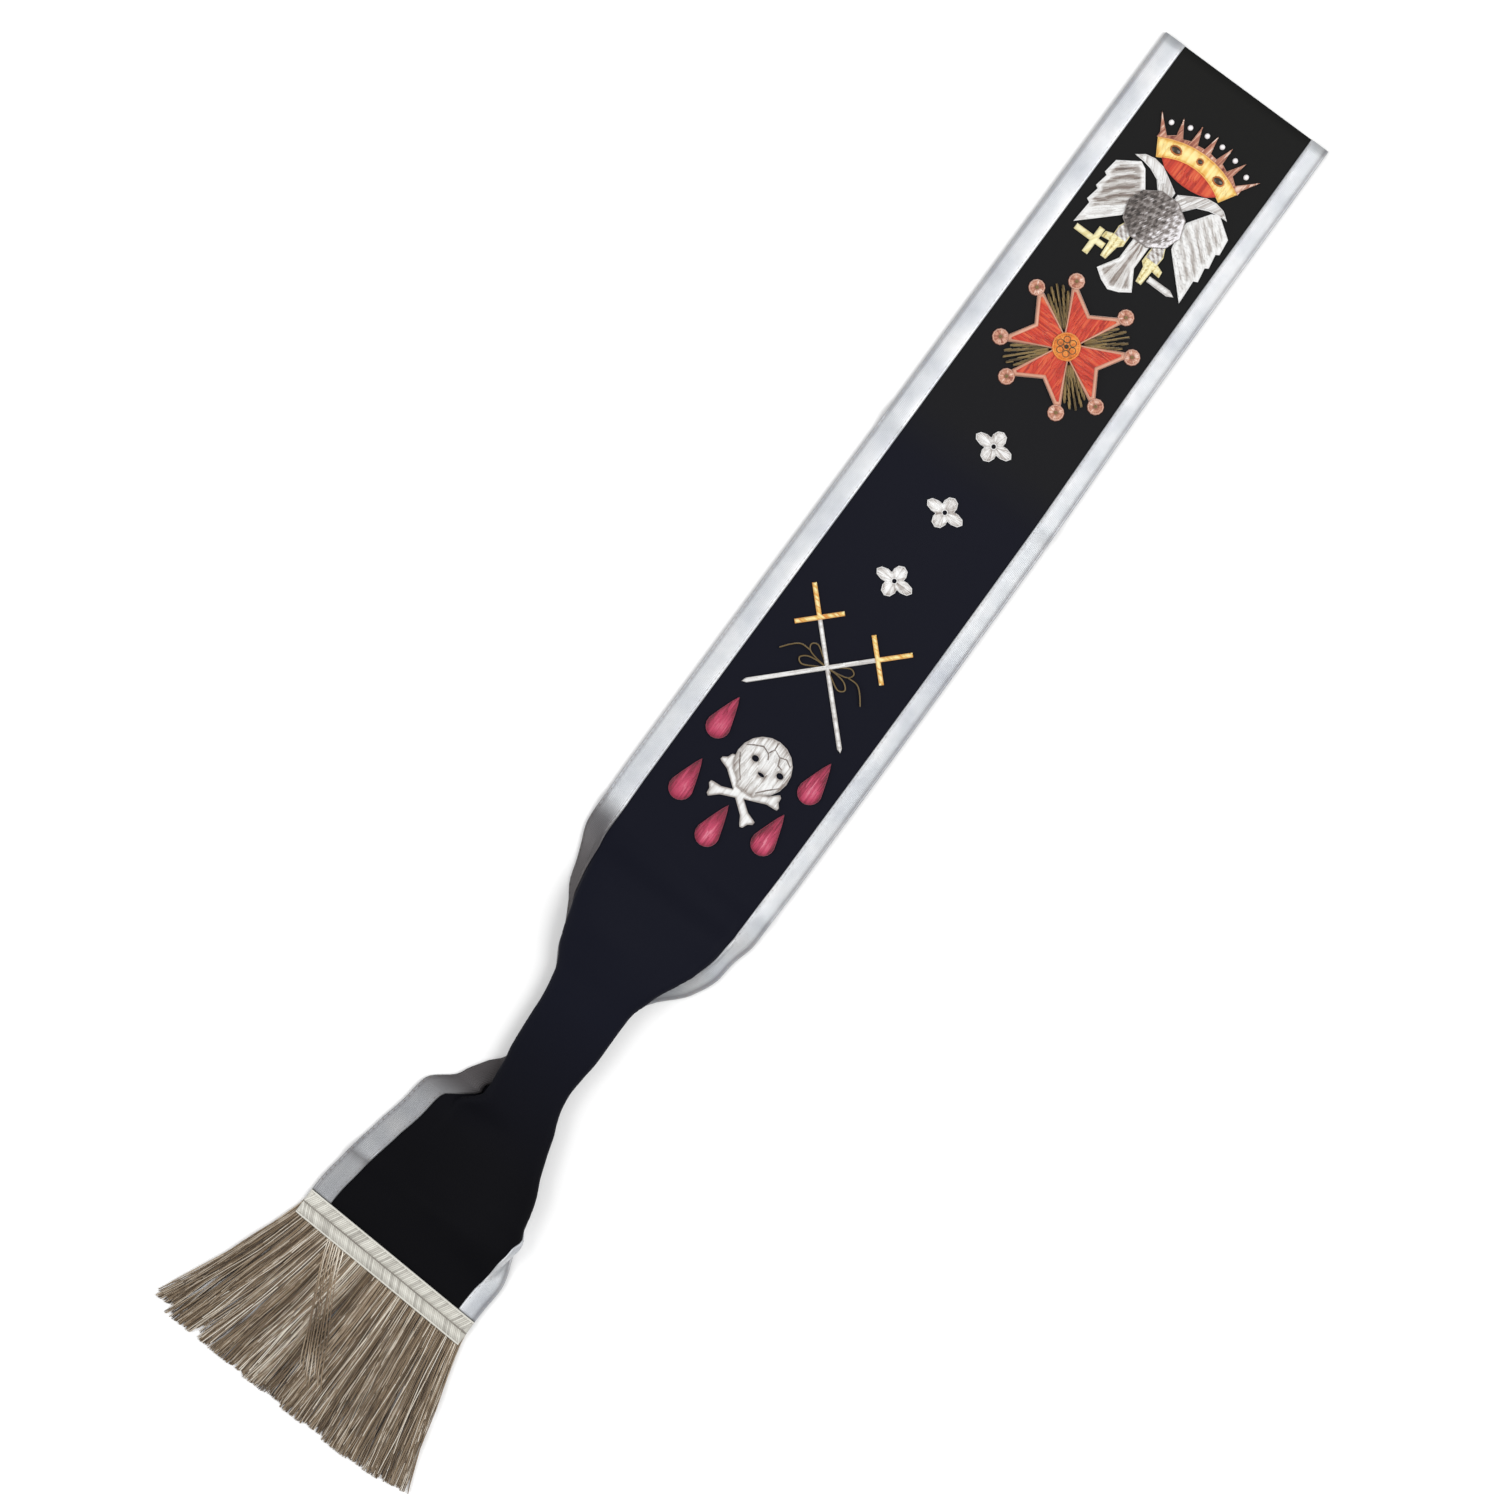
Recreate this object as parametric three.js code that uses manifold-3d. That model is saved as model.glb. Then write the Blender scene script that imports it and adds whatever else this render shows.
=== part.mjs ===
// Sash of an order: a band of black cloth edged with metallic ribbon, drawn together in two knife
// pleats above its fringed tail, with raised emblems sewn along its face.
// Millimetres. The sash lies on the plane z = 0 with its face up and its shoulder end towards +y.
import * as THREE from "three";
import Module from "manifold-3d";
import { mergeVertices } from "three/addons/utils/BufferGeometryUtils.js";

// Cloth and trim
const clothLength = 726;
const clothHalf = 52.5;
const clothWall = 1.5;
const leftRibbonWidth = 12;
const rightRibbonWidth = 10.5;
const ribbonWall = 1;
const sewingGap = 0.3;
const upperRoll = 3.5;
const lowerRoll = 2.5;
const bendEffort = 5;
const endSlant = 5.8;
const slantReach = 40;
const headingDepth = 14;
const headingWall = 1.4;
const headingRib = 0.8;
const headingOverlap = 5;

// Fringe
const fringeLength = 87;
const fringeWall = 3;
const fringeHeadWall = 1.5;
const fringeFlare = 0.52;
const fringeSway = 4.5;
const lockCount = 13;
const lockSpread = 1.5;
const lockWander = 2;
const lockRagged = 0.05;

// Emblems: plates of padded embroidery, and where they stand as shares of the cloth's length
const plateWall = 1;
const detailWall = 0.8;
const crownPlace = 0.0613;
const birdPlace = 0.1074;
const crossPlace = 0.2143;
const ornamentPlaces = [0.3, 0.3565, 0.415];
const swordsPlace = 0.4904;
const skullPlace = 0.5715;
const emblemLine = 2.75;

const crownHalf = 24.2;
const crownBandHeight = 8.3;
const crownArch = 6.4;
const crownPointHeight = 17.8;
const crownPointFan = 1.2;
const crownPointCount = 7;
const pearlRadius = 1.5;
const liningDepth = 12.2;

const birdBodyWidth = 32;
const birdBodyHeight = 28.5;
const wingSpan = 35;
const wingDrop = 25;
const birdTailLength = 29;
const birdTailHalf = 10.4;
const birdLegLength = 31;
const birdSwordReach = 31;

const crossKnobOut = 29.5;
const crossKnobSide = 15.3;
const crossKnobRadius = 4.3;
const crossNotch = 18.4;
const crossCentreRadius = 7.5;
const rayCount = 5;
const rayReach = 32;

const ornamentRadius = 10.5;

const bladeLength = 68.5;
const bladeWidth = 1.8;
const gripLength = 17.5;
const gripWidth = 2;
const guardLength = 25;
const swordCrossing = 25.5;
const bowWidth = 1.3;

const skullRadius = 14.6;
const boneLength = 33.4;
const boneWidth = 3.4;
const dropLength = 23.6;
const dropRadius = 5.9;
const dropSpread = 38.2;

// The laid-flat outline: shares of the cloth's length, and of its half width.
const outlineRows = [
  { along: 0, centre: -0.019, width: 0.962 },
  { along: 0.033, centre: -0.017, width: 0.964 },
  { along: 0.2, centre: -0.005, width: 0.976 },
  { along: 0.35, centre: 0.024, width: 1 },
  { along: 0.62, centre: 0.036, width: 1.01 },
  { along: 0.665, centre: 0.038, width: 1 },
  { along: 0.711, centre: 0.067, width: 1 },
  { along: 0.771, centre: 0.095, width: 1 },
  { along: 0.828, centre: 0.133, width: 1 },
  { along: 0.864, centre: 0.21, width: 1 },
  { along: 0.883, centre: 0.229, width: 1 },
  { along: 0.924, centre: 0.152, width: 1 },
  { along: 0.959, centre: 0.067, width: 1 },
  { along: 1, centre: 0.024, width: 1 },
];

// The pleats: where each fold stands and how deep its pleat is, as shares of the half width,
// how far the cloth turns under there, and how far its edge still tips down, in degrees.
const leftPleatRows = [
  { along: 0.649, fold: 0.78, turn: 0, pleat: 0, tilt: 0 },
  { along: 0.668, fold: 0.78, turn: 22, pleat: 0.02, tilt: 14 },
  { along: 0.688, fold: 0.743, turn: 70, pleat: 0.055, tilt: 35 },
  { along: 0.711, fold: 0.705, turn: 100, pleat: 0.044, tilt: 50 },
  { along: 0.727, fold: 0.648, turn: 130, pleat: 0.07, tilt: 40 },
  { along: 0.75, fold: 0.552, turn: 165, pleat: 0.065, tilt: 10 },
  { along: 0.771, fold: 0.429, turn: 178, pleat: 0.105, tilt: 0 },
  { along: 0.8, fold: 0.39, turn: 180, pleat: 0.139, tilt: 0 },
  { along: 0.828, fold: 0.381, turn: 180, pleat: 0.149, tilt: 0 },
  { along: 0.836, fold: 0.371, turn: 180, pleat: 0.13, tilt: 0 },
  { along: 0.848, fold: 0.381, turn: 178, pleat: 0.053, tilt: 0 },
  { along: 0.864, fold: 0.4, turn: 162, pleat: 0.004, tilt: 0 },
  { along: 0.883, fold: 0.61, turn: 60, pleat: 0.01, tilt: 0 },
  { along: 0.904, fold: 0.62, turn: 18, pleat: 0.005, tilt: 0 },
  { along: 0.924, fold: 0.63, turn: 0, pleat: 0, tilt: 0 },
];
const rightPleatRows = [
  { along: 0.655, fold: 0.78, turn: 0, pleat: 0, tilt: 0 },
  { along: 0.67, fold: 0.78, turn: 18, pleat: 0.02, tilt: 0 },
  { along: 0.688, fold: 0.752, turn: 60, pleat: 0.072, tilt: 0 },
  { along: 0.711, fold: 0.686, turn: 100, pleat: 0.032, tilt: 0 },
  { along: 0.727, fold: 0.59, turn: 130, pleat: 0.04, tilt: 0 },
  { along: 0.75, fold: 0.448, turn: 165, pleat: 0.114, tilt: 0 },
  { along: 0.771, fold: 0.381, turn: 178, pleat: 0.152, tilt: 0 },
  { along: 0.8, fold: 0.371, turn: 180, pleat: 0.158, tilt: 0 },
  { along: 0.836, fold: 0.314, turn: 180, pleat: 0.187, tilt: 0 },
  { along: 0.864, fold: 0.371, turn: 180, pleat: 0.158, tilt: 0 },
  { along: 0.883, fold: 0.438, turn: 178, pleat: 0.124, tilt: 0 },
  { along: 0.904, fold: 0.581, turn: 172, pleat: 0.061, tilt: 0 },
  { along: 0.924, fold: 0.714, turn: 160, pleat: 0.013, tilt: 0 },
  { along: 0.943, fold: 0.81, turn: 120, pleat: 0.015, tilt: 0 },
  { along: 0.959, fold: 0.81, turn: 60, pleat: 0.05, tilt: 0 },
  { along: 0.976, fold: 0.815, turn: 18, pleat: 0.01, tilt: 0 },
  { along: 0.99, fold: 0.82, turn: 0, pleat: 0, tilt: 0 },
];

// Old storage folds across the cloth: a low ridge at a share of the length, in millimetres.
const creaseRows = [
  { along: 0.324, rise: 1.2, reach: 10 },
  { along: 0.655, rise: 0.9, reach: 8 },
  { along: 0.95, rise: 1.2, reach: 9 },
];

const wasm = await Module();
wasm.setup();

const sash = new THREE.Group();

function addPiece(name, geometry, look) {
  const mesh = new THREE.Mesh(geometry, new THREE.MeshStandardMaterial(look));
  mesh.name = name;
  sash.add(mesh);
  return mesh;
}

const blackCloth = { color: 0x1c1d26, roughness: 0.55, metalness: 0 };
const silverRibbon = { color: 0xd2d4dc, roughness: 0.35, metalness: 0.6 };
const creamBraid = { color: 0xd9d4c4, roughness: 0.45, metalness: 0.4 };
const taupeStrands = { color: 0x857664, roughness: 0.4, metalness: 0.4 };
const goldThread = { color: 0xe0b050, roughness: 0.4, metalness: 0.5 };
const paleThread = { color: 0xe6e4e2, roughness: 0.6, metalness: 0 };
const greyThread = { color: 0x8d8886, roughness: 0.5, metalness: 0.2 };
const redThread = { color: 0xdf4a3c, roughness: 0.6, metalness: 0 };
const roseThread = { color: 0xc98a78, roughness: 0.55, metalness: 0.1 };
const crimsonThread = { color: 0xd8435f, roughness: 0.6, metalness: 0 };
const darkStone = { color: 0x2a2014, roughness: 0.3, metalness: 0 };
const oliveThread = { color: 0x7a5c28, roughness: 0.6, metalness: 0.2 };

// Sheets

const radians = (degrees) => (degrees * Math.PI) / 180;
const clamp = (value) => Math.min(1, Math.max(0, value));
const ease = (share) => share * share * (3 - 2 * share);
const mix = (a, b, share) => a + (b - a) * share;

// One column of a table at a place between its rows, on a curve that never overshoots a row.
function between(rows, column, along) {
  const last = rows.length - 1;
  if (along <= rows[0].along) return rows[0][column];
  if (along >= rows[last].along) return rows[last][column];
  const i = rows.findIndex((row) => row.along > along) - 1;
  const slope = (k) => {
    if (k < 0 || k >= last) return 0;
    return (rows[k + 1][column] - rows[k][column]) / (rows[k + 1].along - rows[k].along);
  };
  const tangent = (k) => {
    const before = slope(k - 1);
    const after = slope(k);
    return before * after <= 0 ? 0 : (2 * before * after) / (before + after);
  };
  const span = rows[i + 1].along - rows[i].along;
  const t = (along - rows[i].along) / span;
  const start = rows[i][column] + t * span * tangent(i);
  const end = rows[i + 1][column] - (1 - t) * span * tangent(i + 1);
  return mix(start, end, ease(t));
}

// The cloth's cross-section on one side of its middle, as stretches that turn from one slope to
// another: the top, the upper roll, the pleat, the lower roll and the lip that lies on the floor.
function sideAt(rows, along, half) {
  const turn = radians(between(rows, "turn", along));
  const tilt = radians(between(rows, "tilt", along));
  const top = between(rows, "fold", along) * clothHalf - upperRoll;
  const pleat = between(rows, "pleat", along) * clothHalf;
  const upper = upperRoll * turn;
  const lower = lowerRoll * (turn - tilt);
  const stretches = [
    { length: top, from: 0, to: 0 },
    { length: upper, from: 0, to: turn },
    { length: pleat, from: turn, to: turn },
    { length: lower, from: turn, to: tilt },
    { length: half - top - upper - pleat - lower, from: tilt, to: tilt },
  ];
  const side = { half, turn, top, stretches };
  side.height = walk(side, half).down;
  return side;
}

// The point at a distance along the cross-section, measured in the cloth from its middle.
function walk(side, distance) {
  let out = 0;
  let down = 0;
  let left = distance;
  let slope = 0;
  for (const { length, from, to } of side.stretches) {
    const step = Math.max(0, Math.min(left, length));
    slope = length > 0 ? mix(from, to, step / length) : to;
    if (Math.abs(to - from) < 1e-6) {
      out += step * Math.cos(from);
      down += step * Math.sin(from);
    } else if (length > 0) {
      const radius = length / (to - from);
      out += radius * (Math.sin(slope) - Math.sin(from));
      down += radius * (Math.cos(from) - Math.cos(slope));
    }
    left -= step;
    if (left <= 0) break;
  }
  return { out, down, slope };
}

// Distances from one place of the cross-section to another, closer together where it bends.
function cutsAcross(side, from, to, steps) {
  const marks = [{ distance: 0, effort: 0 }];
  for (const stretch of side.stretches) {
    const { distance, effort } = marks.at(-1);
    const bend = Math.abs(stretch.to - stretch.from);
    marks.push({
      distance: distance + stretch.length,
      effort: effort + stretch.length + bendEffort * bend,
    });
  }
  const read = (key, other, value) => {
    const i = Math.max(1, marks.findIndex((mark) => mark[key] >= value - 1e-9));
    const [a, b] = [marks[i - 1], marks[i]];
    const share = b[key] > a[key] ? (value - a[key]) / (b[key] - a[key]) : 0;
    return mix(a[other], b[other], share);
  };
  const first = read("distance", "effort", from);
  const last = read("distance", "effort", to);
  const cuts = [];
  for (let k = 0; k <= steps; k++)
    cuts.push(read("effort", "distance", mix(first, last, k / steps)));
  return cuts;
}

function sectionAt(along) {
  const half = clothHalf * between(outlineRows, "width", along);
  return {
    centre: clothHalf * between(outlineRows, "centre", along),
    left: sideAt(leftPleatRows, along, half),
    right: sideAt(rightPleatRows, along, half),
  };
}

function creaseRise(along) {
  const away = (row) => Math.abs(along - row.along) * clothLength / row.reach;
  return creaseRows.reduce((sum, row) => sum + row.rise * ease(clamp(1 - away(row))), 0);
}

// A point of the sash, at a distance to the left or right of the cloth's middle, and a lift above
// the middle of the cloth's wall.
function clothPoint(along, sideName, distance, lift) {
  const section = sectionAt(along);
  const side = section[sideName];
  const sign = sideName === "left" ? -1 : 1;
  const { out, down, slope } = walk(side, distance);
  const run = section.left.top + section.right.top;
  const across = clamp((sign * Math.min(out, side.top) + section.left.top) / run);
  const onTop = distance <= side.top;
  const height = onTop
    ? mix(section.left.height, section.right.height, ease(across))
    : side.height - down;
  const x = section.centre + sign * (out + lift * Math.sin(slope));
  const z = clothWall / 2 + creaseRise(along) + height + lift * Math.cos(slope);
  return new THREE.Vector3(x, clothY(along, x), z);
}

// The lower end is cut on a slant, which fades out up the cloth.
function clothY(along, x) {
  const fade = ease(clamp(1 - ((1 - along) * clothLength) / slantReach));
  return -along * clothLength - (endSlant / 2) * (x / clothHalf) * fade;
}

// A closed sheet from two grids of points, its upper and its lower face.
function sheet(upper, lower) {
  const rows = upper.length;
  const columns = upper[0].length;
  const points = [...upper.flat(), ...lower.flat()];
  const high = (i, j) => i * columns + j;
  const low = (i, j) => (rows + i) * columns + j;
  const index = [];
  const quad = (a, b, c, d) => index.push(a, b, c, a, c, d);
  for (let i = 0; i + 1 < rows; i++) {
    for (let j = 0; j + 1 < columns; j++) {
      quad(high(i, j), high(i + 1, j), high(i + 1, j + 1), high(i, j + 1));
      quad(low(i, j), low(i, j + 1), low(i + 1, j + 1), low(i + 1, j));
    }
    quad(high(i, 0), low(i, 0), low(i + 1, 0), high(i + 1, 0));
    const end = columns - 1;
    quad(high(i, end), high(i + 1, end), low(i + 1, end), low(i, end));
  }
  for (let j = 0; j + 1 < columns; j++) {
    quad(high(0, j), high(0, j + 1), low(0, j + 1), low(0, j));
    const end = rows - 1;
    quad(high(end, j), low(end, j), low(end, j + 1), high(end, j + 1));
  }
  const geometry = new THREE.BufferGeometry().setFromPoints(points);
  geometry.setIndex(index);
  return geometry;
}

// The places along the cloth where it is cut across: every row of its tables, and halfway between
// the rows where the cloth folds.
function cutsAlong(end) {
  const rows = [...outlineRows, ...leftPleatRows, ...rightPleatRows];
  const creases = creaseRows.flatMap(({ along, reach }) =>
    [-1, 0, 1].map((share) => along + (share * reach) / clothLength)
  );
  const marks = [...rows.map((row) => row.along), ...creases].sort((a, b) => a - b);
  const clear = 0.0075;
  const kept = [];
  for (const mark of marks)
    if (mark <= end - clear && (!kept.length || mark - kept.at(-1) > clear)) kept.push(mark);
  kept.push(end);
  const foldsFrom = leftPleatRows[0].along;
  const wide = 0.016;
  return kept.flatMap((mark, k) => {
    const next = kept[k + 1];
    const halved = mark >= foldsFrom && next - mark > wide;
    return halved ? [mark, (mark + next) / 2] : [mark];
  });
}

// The ribbon keeps its width square to its own edge, so it is wider across where the edge slants.
function ribbonInner(along, sideName) {
  const step = 0.004;
  const edge = (place) => {
    const side = sectionAt(place)[sideName];
    return clothPoint(place, sideName, side.half, 0).x;
  };
  const drift = (edge(along + step) - edge(along - step)) / (2 * step * clothLength);
  const widest = 1.35;
  const { half } = sectionAt(along)[sideName];
  const width = sideName === "left" ? leftRibbonWidth : rightRibbonWidth;
  return half - width * Math.min(widest, Math.hypot(1, drift));
}

const ribbonSteps = 5;
const panelSteps = 9;

function bandFace(lift) {
  return cutsAlong(1).map((along) => {
    const section = sectionAt(along);
    const halfRow = (sideName) => {
      const side = section[sideName];
      const inner = ribbonInner(along, sideName);
      const panel = cutsAcross(side, 0, inner, panelSteps);
      const edging = cutsAcross(side, inner, side.half, ribbonSteps).slice(1);
      return [...panel, ...edging].map((cut) => clothPoint(along, sideName, cut, lift));
    };
    return [...halfRow("left").slice(1).reverse(), ...halfRow("right")];
  });
}
addPiece("band", sheet(bandFace(clothWall / 2), bandFace(-clothWall / 2)), blackCloth);

const headingUpper = 1 - headingOverlap / clothLength;
function ribbonFace(sideName, lift) {
  return cutsAlong(headingUpper - sewingGap / clothLength).map((along) => {
    const side = sectionAt(along)[sideName];
    const cuts = cutsAcross(side, ribbonInner(along, sideName), side.half, ribbonSteps);
    const row = cuts.map((cut) => clothPoint(along, sideName, cut, lift));
    return sideName === "left" ? row.reverse() : row;
  });
}
const ribbonLift = clothWall / 2 + sewingGap;
for (const side of ["left", "right"])
  addPiece(
    "border_" + side,
    sheet(ribbonFace(side, ribbonLift + ribbonWall), ribbonFace(side, ribbonLift)),
    silverRibbon
  );

// Fringe and its heading, both laid along the slanted end of the cloth

const lowerEnd = sectionAt(1);
const endLeft = lowerEnd.centre - lowerEnd.left.half;
const endRight = lowerEnd.centre + lowerEnd.right.half;
const headingBase = clothWall + sewingGap;
const headingTopY = (x) => clothY(headingUpper, x);

function headingFace(lift) {
  const ribs = 2;
  const steps = 8;
  const rows = [];
  for (let k = 0; k <= steps; k++) {
    const share = k / steps;
    const rib = headingRib * Math.abs(Math.sin(Math.PI * ribs * share));
    const z = headingBase + (lift ? headingWall + rib : 0);
    const row = [endLeft, endRight].map(
      (x) => new THREE.Vector3(x, headingTopY(x) - headingDepth * share, z)
    );
    rows.push(row);
  }
  return rows;
}
addPiece("fringe_heading", sheet(headingFace(true), headingFace(false)), creamBraid);

const solidOf = (geometry) => {
  const bare = geometry.index ? geometry.toNonIndexed() : geometry.clone();
  bare.deleteAttribute("normal");
  bare.deleteAttribute("uv");
  const merged = mergeVertices(bare, 1e-3);
  return new wasm.Manifold(
    new wasm.Mesh({
      numProp: 3,
      vertProperties: merged.attributes.position.array,
      triVerts: new Uint32Array(merged.index.array),
    })
  );
};

const geometryOf = (solid) => {
  const { vertProperties, triVerts, numProp } = solid.getMesh();
  const points = [];
  for (let k = 0; k < vertProperties.length; k += numProp)
    points.push(new THREE.Vector3().fromArray(vertProperties, k));
  const geometry = new THREE.BufferGeometry().setFromPoints(points);
  geometry.setIndex(new THREE.BufferAttribute(triVerts, 1));
  return geometry;
};

// One lock of strands: a flat tapering tongue from the head to its own ragged tip.
function lock(k) {
  const share = k / (lockCount - 1);
  const pitch = (endRight - endLeft) / lockCount;
  const rootX = mix(endLeft + pitch / 2, endRight - pitch / 2, share);
  const swing = fringeFlare * (rootX - (endLeft + endRight) / 2);
  const lean = swing - fringeSway + lockWander * Math.sin(2.3 * k);
  const length = fringeLength * (1 - lockRagged * Math.abs(Math.sin(1.7 * k + 0.6)));
  const rootY = clothY(1, rootX) - sewingGap;
  const covered = (headingDepth - headingOverlap + sewingGap) / fringeLength;
  const rows = [
    { down: 0, wide: 1, wall: 0.5 },
    { down: covered, wide: 1, wall: 0.5 },
    { down: 0.28, wide: 1.05, wall: 1 },
    { down: 0.65, wide: 1.1, wall: 0.8 },
    { down: 1, wide: 0.8, wall: 0.35 },
  ];
  const face = (isUpper) =>
    rows.map(({ down, wide, wall }) => {
      const x = rootX + lean * down;
      const half = (pitch / 2) * wide * mix(1, lockSpread, down);
      const z = fringeWall * wall * (1 - 0.06 * (k % 3));
      return [-1, -0.5, 0.5, 1].map((across) => {
        const crown = Math.abs(across) === 1 ? 0.4 : 1;
        const y = rootY - length * down + Math.abs(across) * down * 3;
        return new THREE.Vector3(x + half * across, y, isUpper ? z * crown : 0);
      });
    });
  return solidOf(sheet(face(true), face(false)));
}

function fringeHead() {
  const depth = headingDepth - headingOverlap;
  const face = (z) =>
    [sewingGap, depth].map((down) =>
      [endLeft, endRight].map((x) => new THREE.Vector3(x, clothY(1, x) - down, z))
    );
  return solidOf(sheet(face(fringeHeadWall), face(0)));
}

let fringe = fringeHead();
for (let k = 0; k < lockCount; k++) fringe = fringe.add(lock(k));
addPiece("fringe", geometryOf(fringe), taupeStrands);

// Emblems

const faceLevel = clothWall + sewingGap;
const detailLevel = faceLevel + plateWall + sewingGap;

function placeOf(share, x = 0, y = 0) {
  return { x: emblemLine + x, y: -share * clothLength + y };
}

function polygon(points) {
  return new THREE.Shape(points.map(([x, y]) => new THREE.Vector2(x, y)));
}

function extruded(shape, wall, curveSegments = 5) {
  return new THREE.ExtrudeGeometry(shape, { depth: wall, bevelEnabled: false, curveSegments });
}

function addPlate(name, shape, look, place, level = faceLevel, wall = plateWall) {
  const mesh = addPiece(name, extruded(shape, wall), look);
  mesh.position.set(place.x, place.y, level);
  mesh.rotation.z = place.turn || 0;
  return mesh;
}

const mirrored = (points) => points.map(([x, y]) => [-x, y]).reverse();

function ellipse(width, height, x = 0, y = 0) {
  const shape = new THREE.Shape();
  shape.absellipse(x, y, width / 2, height / 2, 0, 2 * Math.PI);
  return shape;
}

// A strip of even width along a chain of points.
function strip(points, width) {
  const left = [];
  const right = [];
  points.forEach(([x, y], k) => {
    const [x0, y0] = points[Math.max(0, k - 1)];
    const [x1, y1] = points[Math.min(points.length - 1, k + 1)];
    const length = Math.hypot(x1 - x0, y1 - y0);
    const aside = [(-(y1 - y0) / length) * (width / 2), ((x1 - x0) / length) * (width / 2)];
    left.push([x + aside[0], y + aside[1]]);
    right.unshift([x - aside[0], y - aside[1]]);
  });
  return polygon([...right, ...left]);
}

// Crown: an arched circlet with stones, a row of points and pearls above it, its lining below
function buildCrown() {
  const place = placeOf(crownPlace);
  const archY = (x) => crownArch * (1 - (x / crownHalf) ** 2);
  const innerHalf = crownHalf - 5;
  const middle = crownArch - crownBandHeight;
  const lowArch = (x) => middle - (crownBandHeight + middle) * (x / innerHalf) ** 2;
  const steps = [-1, -0.75, -0.5, -0.25, 0, 0.25, 0.5, 0.75, 1];

  const upperEdge = steps.map((s) => [s * crownHalf, archY(s * crownHalf)]);
  const lowerEdge = steps.map((s) => [s * innerHalf, lowArch(s * innerHalf)]);
  const circlet = polygon([...lowerEdge, ...upperEdge.reverse()]);
  addPlate("crown_circlet", circlet, goldThread, place);

  const liningHalf = innerHalf - 2.5;
  const liningTop = steps.map((s) => [s * liningHalf, lowArch(s * liningHalf) - sewingGap]);
  const sag = (s) => -liningDepth + (liningDepth - crownBandHeight - 0.2) * s * s;
  const liningLow = steps.slice(1, -1).map((s) => [s * liningHalf, sag(s)]);
  addPlate("crown_lining", polygon([...liningLow, ...liningTop.reverse()]), redThread, place);

  const middlePoint = (crownPointCount - 1) / 2;
  const pitch = (crownHalf - 1.2) / middlePoint;
  const pointHalf = 1.7;
  const zigzag = [];
  for (let k = crownPointCount - 1; k >= 0; k--) {
    const root = (k - middlePoint) * pitch;
    const fan = crownPointFan + 0.013 * (k - middlePoint) ** 2;
    const tip = [root * fan, crownPointHeight - 0.7 * (k - middlePoint) ** 2];
    const foot = archY(root) + 2.2;
    zigzag.push([root + pointHalf, foot], tip, [root - pointHalf, foot]);
  }
  const ends = crownHalf + 0.6;
  const base = steps.map((s) => [s * ends, archY(s * ends) + sewingGap + 0.1]);
  addPlate("crown_points", polygon([...base, ...zigzag]), roseThread, place);

  for (let k = 0; k < crownPointCount - 1; k++) {
    const offset = k - middlePoint + 0.5;
    const pearl = new THREE.SphereGeometry(pearlRadius, 7, 4);
    pearl.scale(1, 1, 0.5);
    const mesh = addPiece("crown_pearl_" + (k + 1), pearl, paleThread);
    const y = crownPointHeight - 2.6 - 0.85 * offset ** 2;
    mesh.position.set(place.x + offset * pitch * 1.21, place.y + y, faceLevel + pearlRadius / 2);
  }

  const stones = [
    { name: "left", x: -crownHalf * 0.54, width: 6, height: 4 },
    { name: "centre", x: 0, width: 3.4, height: 3 },
    { name: "right", x: crownHalf * 0.54, width: 6, height: 4 },
  ];
  for (const { name, x, width, height } of stones) {
    const y = (archY(x) + lowArch(x)) / 2;
    const stone = placeOf(crownPlace, x, y);
    addPlate("crown_stone_" + name, ellipse(width, height), darkStone, stone, detailLevel, detailWall);
  }
}

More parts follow.
